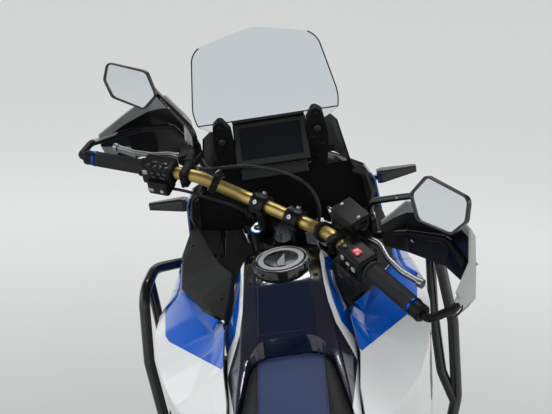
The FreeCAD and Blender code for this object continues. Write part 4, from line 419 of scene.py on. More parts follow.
def cover_zones(tree, where):
    """Blue on the top between two printed lines, a joint across it, and grey and red on the side."""
    column, row = picture_plane(tree, where)
    top = facing(tree, up, 0.2)
    blue = both(tree, past(tree, column, line(tree, row, BLUE_LEFT)),
                past(tree, line(tree, row, COVER_RIGHT), column), past(tree, BLUE_END, row), top)
    slope = math(tree, "MULTIPLY_ADD", column, 0.296, row)
    joint = both(tree, near(tree, slope, 342.4, 0.9), past(tree, 187, column), top)
    x, _, z = in_mm(tree, where)
    side = math(tree, "SUBTRACT", 1.0, top)
    lean = math(tree, "MULTIPLY_ADD", z, -0.24, x)
    red = both(tree, side, past(tree, z, 846, 1.0), past(tree, 936, z, 1.0), near(tree, lean, 652, 6, 0.5))
    # The side faces behind a slanting line are drawn grey, darker than the white base
    grey = both(tree, side, past(tree, lean, 668, 1.0))
    return [(grey, "#A9ABAB", 0.34), (blue, BLUE, 0.2), (joint, "#070B1A", 0.3), (red, "#A3121B", 0.25),
            (facing_in(tree, where), SHELL_BLACK, 0.6)]


def tank_zones(tree, where):
    """Navy between white lines, darker in the centre and black round the cap, and blue outside."""
    column, row = picture_plane(tree, where)
    edge = line(tree, row, NAVY_LEFT)
    blue = both(tree, past(tree, line(tree, row, BLUE_RIGHT), column), past(tree, BLUE_END, row))
    x, y, z = in_mm(tree, where)
    bow = math(tree, "MULTIPLY", math(tree, "MULTIPLY", y, y), 0.0062)
    surround = both(tree, past(tree, math(tree, "SUBTRACT", x, 883.5), bow, 0.6), past(tree, column, edge))
    centre = both(tree, near(tree, y, 0, 56, 0.5), past(tree, x, 786, 0.5))
    return [(centre, "#04102A", 0.16), (past(tree, edge, column), "#E6E8EA", 0.25), (blue, BLUE, 0.2),
            (surround, "#0D0D10", 0.16)]


def nose_zones(tree, where):
    """A blue band on the nose that ends on a slant, and a black inside."""
    x, _, z = in_mm(tree, where)
    slant = math(tree, "MULTIPLY_ADD", z, -0.5, x)
    blue = both(tree, past(tree, z, 985, 0.6), past(tree, 1142, z, 0.6), past(tree, 880, slant, 0.6))
    return [(blue, BLUE, 0.2), (facing_in(tree, where), "#0C0D0E", 0.6)]


def seat_zones(tree, where):
    """The seat's sides, outside its seams, are nearly black."""
    _, y, _ = in_mm(tree, where)
    return [(past(tree, math(tree, "ABSOLUTE", y), SEAM, 0.4), "#16181A", 0.6)]


# %% [markdown]
# ## The finishes
# One row for each slot of the record, named for the real material, then what only the added pieces use.

# %% Finishes of the machine
SATIN_CLEAR = {"Coat_Weight": 1.0, "Coat_Roughness": 0.05}
FINISHES = {
    # Soft compound tyre: matt and nearly black
    "tyre_rubber": finish("moulded tyre rubber", "#1B1B1C", 0.78, 2.5, 0.15),
    # Anodised aluminium keeps its metal shine under a colour film
    "gold_anodised": finish("gold anodised aluminium", "#C09A4A", 0.34, 1.5, 0.01, Metallic=1.0),
    "champagne_anodised": finish("champagne anodised aluminium", "#C2A967", 0.4, 0.8, 0.02,
                                 stretch=(1, 12, 1), Metallic=1.0),
    "cast_alloy": finish("die-cast aluminium", "#8E9092", 0.46, 1.6, 0.06, Metallic=1.0),
    "black_alloy": finish("black anodised aluminium", "#141416", 0.4, 1.2, 0.02, Metallic=0.6),
    "stainless_wire": finish("stainless steel wire", "#C9C9C6", 0.22, Metallic=1.0),
    "disc_steel": finish("ground brake disc steel", "#A9A9A8", 0.34, 0.7, 0.02, Metallic=1.0),
    "sprocket_steel": finish("zinc plated steel", "#6E6C66", 0.42, 2.0, 0.02, Metallic=1.0),
    "chain_steel": finish("oiled chain steel", "#8C7B4E", 0.36, 2.0, 0.02, Metallic=1.0),
    "soft_rubber": finish("ribbed grip rubber", "#1B1B1E", 0.7, 1.4, 0.1),
    "switch_plastic": finish("switch housing nylon", "#0C0C0E", 0.46, 1.0, 0.05, Specular_IOR_Level=0.25),
    "lever_alloy": finish("satin forged aluminium", "#A2A4A5", 0.38, 1.2, 0.02, Metallic=1.0),
    "axle_steel": finish("turned steel", "#8F9091", 0.35, 0.8, 0.02, Metallic=1.0),
    "caliper_paint": finish("satin black caliper paint", "#17171A", 0.42, 1.4, 0.03, Coat_Weight=0.2),
    # Moulded-in colour with a spark-eroded grain: dark, and dull but for a soft sheen
    "textured_plastic": finish("grained black polypropylene", "#0F1010", 0.58, 1.3, 0.1,
                               Specular_IOR_Level=0.14),
    "guard_plastic": finish("silver grey nylon", "#A4A6A5", 0.42, 1.6, 0.05, zones=guard_zones,
                            Specular_IOR_Level=0.35),
    "mirror_shell": finish("gloss black ABS", "#0C0C0E", 0.22, Coat_Weight=0.3),
    "frame_paint": finish("black enamel on steel tube", "#101012", 0.26, 2.0, Coat_Weight=0.5),
    "red_paint": finish("red enamel on steel tube", "#A81419", 0.28, 2.0, Coat_Weight=0.6),
    "engine_paint": finish("semi-matt black engine paint", "#1C1D1F", 0.5, 1.8, 0.06),
    "radiator_alloy": finish("black radiator core", "#15161A", 0.55, 1.4, 0.05, Metallic=0.4),
    "brushed_alloy": finish("brushed aluminium sheet", "#A6A8A9", 0.36, 0.9, 0.03, stretch=(0.06, 1, 1),
                            Metallic=1.0),
    "exhaust_steel": finish("heat tinted stainless tube", "#8F7E6A", 0.32, 2.0, Metallic=1.0),
    "silencer_steel": finish("satin stainless sheet", "#9A9B9B", 0.36, 0.9, 0.02, stretch=(0.1, 1, 1),
                             Metallic=1.0),
    # Metallic base under clear lacquer: nearly black, and blue only where light falls on it
    "navy_paint": finish("navy metallic lacquer", "#121426", 0.28, 1.2, zones=tank_zones, Coat_Weight=1.0,
                         Coat_Roughness=0.03),
    "cap_alloy": finish("satin cap aluminium", "#A3A4A5", 0.36, 0.8, 0.02, Metallic=1.0),
    "blue_paint": finish("lacquered cover ABS", "#DDE0E0", 0.25, zones=cover_zones, **SATIN_CLEAR),
    "white_paint": finish("lacquered nose ABS", "#DDE0E0", 0.25, zones=nose_zones, **SATIN_CLEAR),
    "lamp_lens": finish("lamp polycarbonate", "#E8ECEF", 0.05, drift=0.02, Transmission_Weight=1.0, IOR=1.2),
    "clear_screen": finish("clear screen polycarbonate", "#E9EFF3", 0.03, drift=0.01,
                           Transmission_Weight=1.0, IOR=1.03),
    "display_glass": finish("dark display glass", "#15181D", 0.22, Specular_IOR_Level=0.25),
    "signal_lens": finish("smoked lamp lens", "#141416", 0.3, Coat_Weight=0.4),
    "tail_lens": finish("red lamp lens", "#7E0C10", 0.15, Coat_Weight=0.6),
    # Coated cloth on foam: a dull sheen over a fine leather grain
    "seat_vinyl": finish("grained seat vinyl", "#24345C", 0.6, 2.2, 0.25, zones=seat_zones,
                         Specular_IOR_Level=0.3, Sheen_Weight=0.06),
    "spring_paint": finish("red powder coat", "#A61A16", 0.4, 1.6, 0.03),
    "cable_sheath": finish("extruded cable sheath", "#101012", 0.5, 1.5, 0.03),
    # What only the added pieces use
    "inlay_plastic": finish("grained inlay polypropylene", "#191B1A", 0.58, 1.3, 0.12, zones=panel_zones,
                            Specular_IOR_Level=0.22),
    "fork_black": finish("black anodised fork tube", "#0D0D0F", 0.3, 1.0, 0.01, Metallic=0.4),
    # Painted shade: a dark finish for the screen's edge, in place of the dark line that a clear edge shows
    "painted_edge_shade": finish("screen edge with painted shade", "#23292D", 0.3, drift=0.02, Specular_IOR_Level=0.2),
    "inner_black": finish("black guard nylon", "#0B0B0B", 0.5, 1.4, 0.08, Specular_IOR_Level=0.25),
    "gloss_black": finish("gloss black trim", "#0B0B0D", 0.14, Coat_Weight=1.0, Coat_Roughness=0.04),
    "mirror_glass": finish("silvered mirror glass", "#DDE1E4", 0.03, drift=0.01, Metallic=1.0),
    "bolt_steel": finish("bright zinc bolt", "#B9BBBC", 0.28, 0.6, 0.01, Metallic=1.0),
    "dark_bolt": finish("black oxide bolt", "#26272A", 0.38, 0.6, 0.01, Metallic=0.8),
    "blue_anodised": finish("blue anodised ring", "#1C4FB0", 0.28, 0.8, 0.01, Metallic=1.0),
    "button_grey": finish("pale grey switch key", "#A9ABAA", 0.42, 0.8, 0.02),
    "button_red": finish("red stop switch", "#C4141C", 0.34, 0.8, 0.02, Coat_Weight=0.2),
    "button_black": finish("black switch key", "#242528", 0.35, 0.8, 0.02, Coat_Weight=0.2),
    "bezel_olive": finish("grey olive dash moulding", "#2B2E2C", 0.5, 1.2, 0.05, Specular_IOR_Level=0.25),
    "thread": finish("seam thread", "#10151F", 0.7, 0.6, 0.05),
    "piping": finish("seam welt", "#0F1013", 0.5, 0.8, 0.05),
    "chrome": finish("chromed reflector", "#E2E4E6", 0.08, 0.8, Metallic=1.0),
    "amber_lens": finish("amber lamp lens", "#C7650E", 0.16, Coat_Weight=0.6),
    "liner_black": finish("lamp housing black", "#0D0D0F", 0.35, 1.0, 0.02),
}
print("finishes", len(FINISHES))

# %% [markdown]
# ## Carrying the solids over
# A solid comes as loose flat triangles. A copy whose doubled points are merged can be shaded smoothly up to
# its real edges, and a narrow bevel on those edges catches the light as a moulded or machined edge does.

# %% Copy, smooth and bevel a solid


def clean_copy(node):
    """A merged copy of a node's mesh, with flat regions joined into single faces."""
    work = bmesh.new()
    work.from_mesh(nodes[node].data)
    bmesh.ops.remove_doubles(work, verts=work.verts, dist=0.00002)
    bmesh.ops.dissolve_limit(work, angle_limit=radians(0.6), verts=work.verts, edges=work.edges)
    mesh = bpy.data.meshes.new(node + "_dressed")
    work.to_mesh(mesh)
    work.free()
    return mesh


def piece(name, mesh, body, finish_name, replaces=()):
    """Link a mesh as a piece that rides on a body, with one finish."""
    made = bpy.data.objects.new(name, mesh)
    scene.collection.objects.link(made)
    if finish_name:
        mesh.materials.clear()
        mesh.materials.append(FINISHES[finish_name])
    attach(made, body)
    if replaces:
        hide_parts(*replaces)
    return made


def smooth(mesh, angle=32):
    """Shade smoothly, except over edges sharper than an angle."""
    for face in mesh.polygons:
        face.use_smooth = True
    mesh.set_sharp_from_angle(angle=radians(angle))


def baked(made):
    """The mesh of an object with its modifiers applied."""
    depsgraph = bpy.context.evaluated_depsgraph_get()
    return bpy.data.meshes.new_from_object(made.evaluated_get(depsgraph))


def body_of(node):
    return nodes[node]["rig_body"]


def soften(made, width, angle):
    """Bevel the edges that are sharper than an angle, by a width in mm."""
    edge = made.modifiers.new("edge", "BEVEL")
    edge.width = width / 1000
    edge.segments = 2
    edge.limit_method = "ANGLE"
    edge.angle_limit = radians(angle)
    return edge


def dress(node, bevel=0.8, angle=32):
    """A node's solid as a smooth, bevelled piece with the finish of its slot."""
    mesh = clean_copy(node)
    smooth(mesh, angle)
    made = piece(node + "_dressed", mesh, body_of(node), LOOKS.get(node, slots[node]), [node])
    if bevel:
        soften(made, bevel, angle).harden_normals = True
    return made


BEVELS = {
    "fuel_tank": 5, "side_shrouds": 1.2, "inner_panels": 1.2, "nose_fairing": 1.2, "cockpit_trim": 1.2,
    "crankcase": 3, "cylinders": 2, "instrument_housing": 2, "mirrors": 1.5, "hand_guards": 1.2,
    "front_spokes": 0, "rear_spokes": 0, "cables": 0, "windscreen": 0, "instrument_screen": 0,
    "silencer": 3, "swingarm": 3, "tail_fairing": 1.2, "rear_rack": 1.2, "handlebar": 0,
}
OWN = {"front_tyre", "rear_tyre", "chain", "rider_seat", "passenger_seat"}
LOOKS = {"fork_tubes": "fork_black", "inner_panels": "inlay_plastic"}
dressed = {name: dress(name, BEVELS.get(name, 0.8)) for name in sorted(nodes) if name not in OWN}
print("dressed", len(dressed))


def repaint(node, second, test):
    """Give the faces of a dressed piece that pass a test a second finish. The test gets each face's
    centre and normal in the frame of the body that carries it."""
    mesh = dressed[node].data
    place = BAR if body_of(node) == "steering" else CHASSIS
    back = place.inverted()
    spin = back.to_3x3() * 0.001
    slot_index = len(mesh.materials)
    mesh.materials.append(FINISHES[second])
    for face in mesh.polygons:
        if test(back @ face.center, spin @ face.normal, face):
            face.material_index = slot_index


def between(value, low, high):
    return low <= value <= high


# %% [markdown]
# ## Second finishes on one solid
# A few solids carry two materials in the real thing: a guard with a black inside, a mirror with its glass, and
# a display head with an olive face. The screen's edge faces also get a dark finish: painted shade for the dark
# line that a clear edge shows.

# %% Repainted faces
SHIELD = [(254, 22), (290, 66), (370, 88), (440, 66), (474, 6), (486, -64)]


def is_beam(spot, normal, face):
    """True away from the hand guard's shield, measured in plan from its outer face."""
    nearest = 99.0
    for (y1, x1), (y2, x2) in zip(SHIELD, SHIELD[1:]):
        run = Vector((x2 - x1, y2 - y1))
        reach = Vector((spot.x - x1, abs(spot.y) - y1))
        share = min(1, max(0, reach.dot(run) / run.length_squared))
        nearest = min(nearest, (reach - run * share).length)
    return nearest > 14 or not 250 < abs(spot.y) < 490


repaint("hand_guards", "inner_black", is_beam)
pane_axis = Vector()
for face in dressed["windscreen"].data.polygons:
    pane_axis += face.normal * face.area * (1 if face.normal.dot(ahead) > 0 else -1)
pane_axis.normalize()


def is_rim(spot, normal, face):
    """True on the faces round the windscreen's edge."""
    return abs(face.normal.dot(pane_axis)) < 0.45


# The screen's edge faces get the painted shade of its dark line
repaint("windscreen", "painted_edge_shade", is_rim)
GLASS = Vector((1, 0.3, -0.48)).normalized()


def is_glass(spot, normal, face):
    """True on the pane of a mirror, a little behind its shell's face."""
    facing = Vector((GLASS.x, GLASS.y * (1 if spot.y > 0 else -1), GLASS.z))
    plane = Vector((-2 - 0.3 * (abs(spot.y) - 400) + 0.48 * (spot.z - 1109), spot.y, spot.z))
    depth = (spot - plane).dot(GLASS if spot.y > 0 else facing)
    return normal.dot(facing) < -0.98 and between(depth, 1.5, 4.5)


repaint("mirrors", "mirror_glass", is_glass)
repaint("instrument_housing", "bezel_olive",
        lambda spot, normal, face: normal.x < -0.6 and between(spot.x, 1200, 1272) and abs(spot.y) < 88)
CAP = CHASSIS @ Matrix.Translation((945, 0, 1080)) @ Matrix.Rotation(radians(-8), 4, "Y")


def is_cap_centre(spot, normal, face):
    """True on the disc inside the cap's bright ring."""
    back = CAP.inverted()
    corners = [back @ dressed["fuel_cap"].data.vertices[index].co for index in face.vertices]
    return max(corner.xy.length for corner in corners) < 37 and min(corner.z for corner in corners) > -4


repaint("fuel_cap", "gloss_black", is_cap_centre)
repaint("turn_signals", "amber_lens", lambda spot, normal, face: (
    normal.x > 0.6 if spot.x > 600 else normal.x < -0.6) and abs(spot.y) > (244 if spot.x > 600 else 124))
repaint("control_levers", "inner_black", lambda spot, normal, face: not (
    abs(spot.y) > 262 and spot.x > -32 or abs(spot.y) > 290))
print("repainted")

# %% [markdown]
# ## Small shapes
# Added pieces are drawn in millimetres in the frame that suits them, then moved to their place in one step.
# A mirrored place turns faces inside out, so those are turned back.

# %% Functions for small shapes


def shape(name, work, place, angle=35):
    """Turn a bmesh drawn in mm into a mesh in its place."""
    bmesh.ops.remove_doubles(work, verts=work.verts, dist=0.001)
    bmesh.ops.recalc_face_normals(work, faces=work.faces)
    work.transform(place)
    if place.determinant() < 0:
        bmesh.ops.reverse_faces(work, faces=work.faces)
    mesh = bpy.data.meshes.new(name)
    work.to_mesh(mesh)
    work.free()
    smooth(mesh, angle)
    return mesh


def lathe(name, profile, place, steps=48, angle=35):
    """Revolve a closed (radius, height) outline in mm about Z."""
    work = bmesh.new()
    spots = [work.verts.new((radius, 0, height)) for radius, height in profile]
    edges = [work.edges.new((a, b)) for a, b in zip(spots, spots[1:] + spots[:1])]
    bmesh.ops.spin(work, geom=spots + edges, cent=(0, 0, 0), axis=(0, 0, 1), angle=2 * pi, steps=steps,
                   use_merge=True)
    return shape(name, work, place, angle)


SMALL = Matrix.Scale(0.001, 4)


def rounded_box(name, size, bevel, place=SMALL, segments=2):
    work = bmesh.new()
    bmesh.ops.create_cube(work, size=1)
    bmesh.ops.scale(work, vec=size, verts=work.verts)
    if bevel:
        bmesh.ops.bevel(work, geom=list(work.edges), offset=bevel, segments=segments, profile=0.5,
                        affect="EDGES")
    return shape(name, work, place)


def sweep(name, points, radius, place, sides=8):
    """A round rod along a line of points in mm, closed at both ends."""
    work = bmesh.new()
    spots = [Vector(point) for point in points]
    rings = []
    side = None
    for index, spot in enumerate(spots):
        along = (spots[min(index + 1, len(spots) - 1)] - spots[max(index - 1, 0)]).normalized()
        if side is None:
            side = along.orthogonal().normalized()
        side = (side - along * side.dot(along)).normalized()
        third = along.cross(side)
        turns = [2 * pi * k / sides for k in range(sides)]
        rings.append([work.verts.new(spot + (side * cos(turn) + third * sin(turn)) * radius) for turn in turns])
    for first, second in zip(rings, rings[1:]):
        for k in range(sides):
            work.faces.new((first[k], first[(k + 1) % sides], second[(k + 1) % sides], second[k]))
    work.faces.new(rings[0][::-1])
    work.faces.new(rings[-1])
    return shape(name, work, place)


def joined(name, meshes):
    """Several meshes as one."""
    work = bmesh.new()
    for mesh in meshes:
        work.from_mesh(mesh)
    result = bpy.data.meshes.new(name)
    work.to_mesh(result)
    work.free()
    smooth(result, 35)
    return result


# %% [markdown]
# ## Repeats by Geometry Nodes
# Bolts, tread blocks, chain links, keys and stitches are one small part set on many points. Each point
# carries the direction its part faces, a direction along it, and a size. The node group turns those into
# instances, makes them real and gives them their finish.

# %% The repeating node group


def repeating_group():
    group = bpy.data.node_groups.new("repeat a part on points", "GeometryNodeTree")
    for name, kind in (("Points", "Geometry"), ("Part", "Object"), ("Finish", "Material")):
        group.interface.new_socket(name, in_out="INPUT", socket_type="NodeSocket" + kind)
    group.interface.new_socket("Geometry", in_out="OUTPUT", socket_type="NodeSocketGeometry")
    given = add(group, "NodeGroupInput")
    facing, along, size = [
        add(group, "GeometryNodeInputNamedAttribute", {"Name": name}, data_type="FLOAT_VECTOR").outputs[0]
        for name in ("facing", "along", "size")]
    turn = add(group, "FunctionNodeAxesToRotation", {"Primary Axis": facing, "Secondary Axis": along},
               primary_axis="Z", secondary_axis="X")
    part = add(group, "GeometryNodeObjectInfo", {"Object": given.outputs["Part"]})
    placed = add(group, "GeometryNodeInstanceOnPoints", {
        "Points": given.outputs["Points"], "Instance": part.outputs["Geometry"],
        "Rotation": turn.outputs[0], "Scale": size})
    real = add(group, "GeometryNodeRealizeInstances", {"Geometry": placed.outputs[0]})
    coated = add(group, "GeometryNodeSetMaterial", {
        "Geometry": real.outputs[0], "Material": given.outputs["Finish"]})
    add(group, "NodeGroupOutput", {"Geometry": coated.outputs[0]})
    return group


REPEAT = repeating_group()


def spot_of(place, spot, facing=(0, 0, 1), along=(1, 0, 0), size=(1, 1, 1)):
    """One point of a repeat, given in mm in some frame."""
    turn = place.to_3x3()
    return (place @ Vector(spot), (turn @ Vector(facing)).normalized(), (turn @ Vector(along)).normalized(),
            Vector(size))


def round_axle(place, radius, y, count, first=0.0, x=0, z=0):
    """Points in a circle round the y axis of a frame, or round a place beside it, that face outwards."""
    turns = [first + 2 * pi * k / count for k in range(count)]
    return [spot_of(place, (x + radius * cos(a), y, z + radius * sin(a)), (0, 1 if y > 0 else -1, 0))
            for a in turns]


def repeat(name, part, rows, finish_name, body):
    """Set a part on rows of points through the node group, and keep the result as a plain mesh."""
    points = bpy.data.meshes.new(name + "_points")
    points.from_pydata([row[0] for row in rows], [], [])
    for column, key in ((1, "facing"), (2, "along"), (3, "size")):
        values = points.attributes.new(key, "FLOAT_VECTOR", "POINT")
        values.data.foreach_set("vector", [number for row in rows for number in row[column]])
    source = bpy.data.objects.new(name + "_part", part)
    carrier = bpy.data.objects.new(name + "_carrier", points)
    scene.collection.objects.link(source)
    scene.collection.objects.link(carrier)
    nodes_made = carrier.modifiers.new("repeat", "NODES")
    nodes_made.node_group = REPEAT
    sockets = {item.name: item.identifier for item in REPEAT.interface.items_tree}
    nodes_made[sockets["Part"]] = source
    nodes_made[sockets["Finish"]] = FINISHES[finish_name]
    mesh = baked(carrier)
    mesh.name = name
    for key in ("facing", "along", "size"):
        if key in mesh.attributes:
            mesh.attributes.remove(mesh.attributes[key])
    bpy.data.objects.remove(carrier)
    bpy.data.objects.remove(source)
    smooth(mesh, 35)
    print(name, "set on", len(rows), "points")
    return piece(name, mesh, body, finish_name)


SOCKET_BOLT = lathe("socket_bolt", [(0, 2.2), (2.6, 2.2), (2.9, 5), (4.6, 5), (5.2, 4.4), (5.2, -1), (0, -1)],
                    SMALL, 16)
BUTTON_BOLT = lathe("button_bolt", [(0, 1.1), (1.8, 1.1), (2.0, 2.2), (3.4, 1.9), (4.6, 0.6), (4.6, -0.6),
                                    (0, -0.6)], SMALL, 16)
KEY = rounded_box("key", (10, 10, 6), 1.6)
BLOCK = rounded_box("block", (10, 10, 10), 0.7, segments=1)
ROUND = lathe("round", [(0, 3), (4, 3), (5, 2), (5, -3), (0, -3)], SMALL, 20)
print("node group", REPEAT.name)

# %% [markdown]
# ## Tyres
# Each tyre gets its own carcass, a little lower at the crown than the solid, and rows of tread blocks that
# rise to the solid's surface.

# %% Carcass and blocks


def tyre(node, radius, width, height, bead_width, place, rows, pitch):
    """rows: angle from the crown in degrees, step along the tread, length, width, twist in degrees."""
    half, ring = width / 2, radius - width / 2
    low, bead = radius - height, bead_width / 2
    wall = low + 14
    outline = [(low, -bead), (wall, -bead)]
    chord = Vector((ring - wall, half - bead))
    bulge = 0.3 * chord.length ** 2 / (8 * (ring - wall)) * 2
    for share in (0.25, 0.5, 0.75):
        swell = bulge * 4 * share * (1 - share)
        outline.append((wall + chord.x * share, -(bead + chord.y * share + swell)))
    for angle in range(-90, 91, 6):
        drop = 7.5 * min(1, max(0, (78 - abs(angle)) / 10))
        outline.append((ring + (half - drop) * cos(radians(angle)), (half - drop) * sin(radians(angle))))
    for share in (0.75, 0.5, 0.25):
        swell = bulge * 4 * share * (1 - share)
        outline.append((wall + chord.x * share, bead + chord.y * share + swell))
    outline += [(wall, bead), (low, bead), (low, bead - 8), (wall, bead - 8), (ring, half - 9),
                (radius - 15, 0), (ring, 9 - half), (wall, 8 - bead), (low, 8 - bead)]
    turned = place @ Matrix.Rotation(radians(-90), 4, "X")
    rubber = lathe(node, outline, turned, 144, 50)
    body = piece(node + "_carcass", rubber, body_of(node), "tyre_rubber", [node])
    spots = []
    count = int(2 * pi * radius / pitch)
    for step in range(count):
        for angle, shift, length, across, twist in rows:
            swing = 2 * pi * (step + shift) / count
            tilt = radians(angle)
            out = Vector((cos(tilt) * cos(swing), sin(tilt), cos(tilt) * sin(swing)))
            along = Vector((-sin(swing), 0, cos(swing)))
            along = Matrix.Rotation(radians(twist), 3, out) @ along
            centre = Vector((ring * cos(swing), 0, ring * sin(swing))) + out * (half - 5.2)
            spots.append(spot_of(place, centre, out, along, (length / 10, across / 10, 1.0)))
    repeat(node + "_tread", BLOCK, spots, "tyre_rubber", body_of(node))


tyre("front_tyre", FRONT_RADIUS, 92, 81, 62, FRONT_AXLE,
     [(-15, 0, 25, 15, 16), (15, 0.5, 25, 15, -16), (-40, 0.3, 21, 15, -10), (40, 0.8, 21, 15, 10),
      (-62, 0, 16, 10, 0), (62, 0.5, 16, 10, 0)], 37)
tyre("rear_tyre", REAR_RADIUS, 150, 105, 108, REAR_AXLE,
     [(-12, 0, 31, 24, 16), (12, 0.5, 31, 24, -16), (-36, 0.3, 26, 24, -10), (36, 0.8, 26, 24, 10),
      (-58, 0, 24, 16, 0), (58, 0.5, 24, 16, 0)], 44)

# %% [markdown]
# Each spoke ends in a nipple at the rim, turned towards the hub it pulls on. Bolts hold the discs and the
# sprocket.

# %% Spoke nipples and hub bolts
NIPPLE = lathe("nipple", [(0, 14), (2.4, 14), (3.4, 12), (3.4, 0), (0, 0)], SMALL, 10)
for wheel_name, place, flange, spread, low in (
        ("front_wheel", FRONT_AXLE, 44, 68, 267), ("rear_wheel", REAR_AXLE, 62, 88, 229)):
    rim, hub = low - 16 - 5, flange + 0.3 + 1.8
    spots = []
    for index in range(36):
        side_sign = 1 if index % 2 else -1
        hand = 1 if (index // 2) % 2 else -1
        angle = 2 * pi * index / 36
        swing = angle - hand * radians(48)
        shift = side_sign * 3.6 * 1.2 * hand
        start = Vector((hub * cos(swing), side_sign * spread / 2 + shift, hub * sin(swing)))
        end = Vector((rim * cos(angle), side_sign * 9 + shift / 3, rim * sin(angle)))
        spots.append(spot_of(place, end, start - end, (0, 1, 0)))
    repeat(wheel_name + "_nipples", NIPPLE, spots, "bolt_steel", wheel_name)
for name, wheel_name, place, radius, sides in (
        ("front_disc_bolts", "front_wheel", FRONT_AXLE, 50, (-61.2, 61.2)),
        ("rear_wheel_bolts", "rear_wheel", REAR_AXLE, 44, (-90.7, 96.7))):
    rows = [row for y in sides for row in round_axle(place, radius, y, 6)]
    repeat(name, BUTTON_BOLT, rows, "dark_bolt", wheel_name)

# %% [markdown]
# ## Chain
# A roller chain of alternate inner and outer links round the two sprockets, at its real pitch.

# %% Chain links
PITCH = 15.875
CHAIN_LINE = 93
BIG, LITTLE = [PITCH / (2 * sin(pi / teeth)) for teeth in (42, 16)]
AXLE, SHAFT = Vector((0, REAR_RADIUS)), Vector((602, 402))
span = SHAFT - AXLE
tilt = atan2(span.y, span.x)
lap = acos((BIG - LITTLE) / span.length)
straight = sqrt(span.length ** 2 - (BIG - LITTLE) ** 2)
# Straight run from one sprocket to the next, at an angle, and the arc round the second sprocket
COURSE = [(AXLE, BIG, SHAFT, LITTLE, tilt + lap, LITTLE * 2 * lap),
          (SHAFT, LITTLE, AXLE, BIG, tilt - lap, BIG * 2 * (pi - lap))]
loop = sum(straight + row[-1] for row in COURSE)


def chain_spot(travel):
    """Point of the pitch line and its direction, for a distance from the top of the rear sprocket."""
    for hub, radius, second, second_radius, swing, arc in COURSE:
        out = Vector((cos(swing), sin(swing)))
        start, end = hub + out * radius, second + out * second_radius
        if travel < straight:
            return start.lerp(end, travel / straight), (end - start).normalized()
        travel -= straight
        if travel < arc:
            break
        travel -= arc
    angle = swing - travel / second_radius
    return second + Vector((cos(angle), sin(angle))) * second_radius, Vector((sin(angle), -cos(angle)))


def link_mesh():
    """A side plate with round ends and a narrow waist."""
    work = bmesh.new()
    ring = []
    for centre, start in ((PITCH / 2, -90), (-PITCH / 2, 90)):
        for step in range(9):
            angle = radians(start + step * 22.5)
            ring.append((centre + 6.6 * cos(angle), 6.6 * sin(angle)))
        ring.append((0, 5.2 if start < 0 else -5.2))
    low = [work.verts.new((x, y, -0.95)) for x, y in ring]
    high = [work.verts.new((x, y, 0.95)) for x, y in ring]
    work.faces.new(low[::-1])
    work.faces.new(high)
    for k in range(len(ring)):
        work.faces.new((low[k], low[(k + 1) % len(ring)], high[(k + 1) % len(ring)], high[k]))
    return shape("link", work, SMALL)


links = 2 * round(loop / PITCH / 2)
plates, pins = [], []
for index in range(links):
    spot, along = chain_spot((index + 0.5) * loop / links)
    pin, _ = chain_spot(index * loop / links)
    pins.append(spot_of(CHASSIS, (pin.x, CHAIN_LINE, pin.y), (0, 1, 0)))
    out = 5.6 if index % 2 else 7.8
    for y in (CHAIN_LINE - out, CHAIN_LINE + out):
        plates.append(spot_of(CHASSIS, (spot.x, y, spot.y), (0, 1, 0), (along.x, 0, along.y)))
repeat("chain_plates", link_mesh(), plates, "chain_steel", "frame")
PIN = joined("chain_pin", [
    lathe("pin", [(0, -9), (2.5, -9), (2.5, 9), (0, 9)], SMALL, 12),
    lathe("roller", [(2.6, -4.4), (5, -4.4), (5, 4.4), (2.6, 4.4)], SMALL, 16)])
chain = repeat("chain_rollers", PIN, pins, "sprocket_steel", "frame")
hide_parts("chain")
print("chain links", links)

# %% [markdown]
# ## Handlebar fittings
# The bar is dressed in a frame that runs along the grip: forward, outward along the bar, and up. The right
# side is the mirror image of the left.

# %% Frames along the grips
TIP = Vector((-134, 445, 996))
BEND = Vector((-45, 180, 980))
outward = (TIP - BEND).normalized()
forward = outward.cross(Vector((0, 0, 1))).normalized()
upward = forward.cross(outward)


def on_bar(from_end, side_sign=1):
    """A frame in mm on the grip line, a distance from the bar's tip; side_sign -1 is the right side."""
    mirror = Matrix.Diagonal((1, side_sign, 1, 1))
    turn = Matrix((forward, outward, upward)).transposed().to_4x4()
    return BAR @ mirror @ Matrix.Translation(TIP - outward * from_end) @ turn


ALONG_BAR = Matrix.Rotation(radians(-90), 4, "X")

# %% [markdown]
# The grips have ribs all round, a blue ring near the end and a black cap with a screw.

# %% Grip ribs, end rings and caps
RIB = [(16.6, -0.9), (17.5, -0.5), (17.5, 0.5), (16.6, 0.9)]
RING = [(14.5, 0.2), (17.4, 0.2), (17.9, 1), (17.9, 6), (17.4, 6.8), (14.5, 6.8)]
END_CAP = [(0, 0), (6, 0), (6, 2.5), (14, 2.5), (16.2, 0.6), (16.9, -2), (16.9, -6), (0, -6)]
for name, profile, starts, steps, look in (
        ("grip_ribs", RIB, [36 + step * 4.1 for step in range(26)], 32, "soft_rubber"),
        ("bar_rings", RING, [26.9], 40, "blue_anodised"), ("bar_end_caps", END_CAP, [0], 40, "inner_black")):
    meshes = [lathe(name, profile, on_bar(start, s) @ ALONG_BAR, steps) for s in (1, -1) for start in starts]
    piece(name, joined(name, meshes), "steering", look)
screws = [spot_of(on_bar(0, s), (0, 0.4, 0), (0, 1, 0), size=(1.1, 1.1, 0.8)) for s in (1, -1)]
repeat("bar_end_screws", BUTTON_BOLT, screws, "dark_bolt", "steering")

# %% [markdown]
# Switch keys stand on three faces of each housing. Rows give the side (1 is left), the face, the place
# outward and across it, and the key's size both ways.

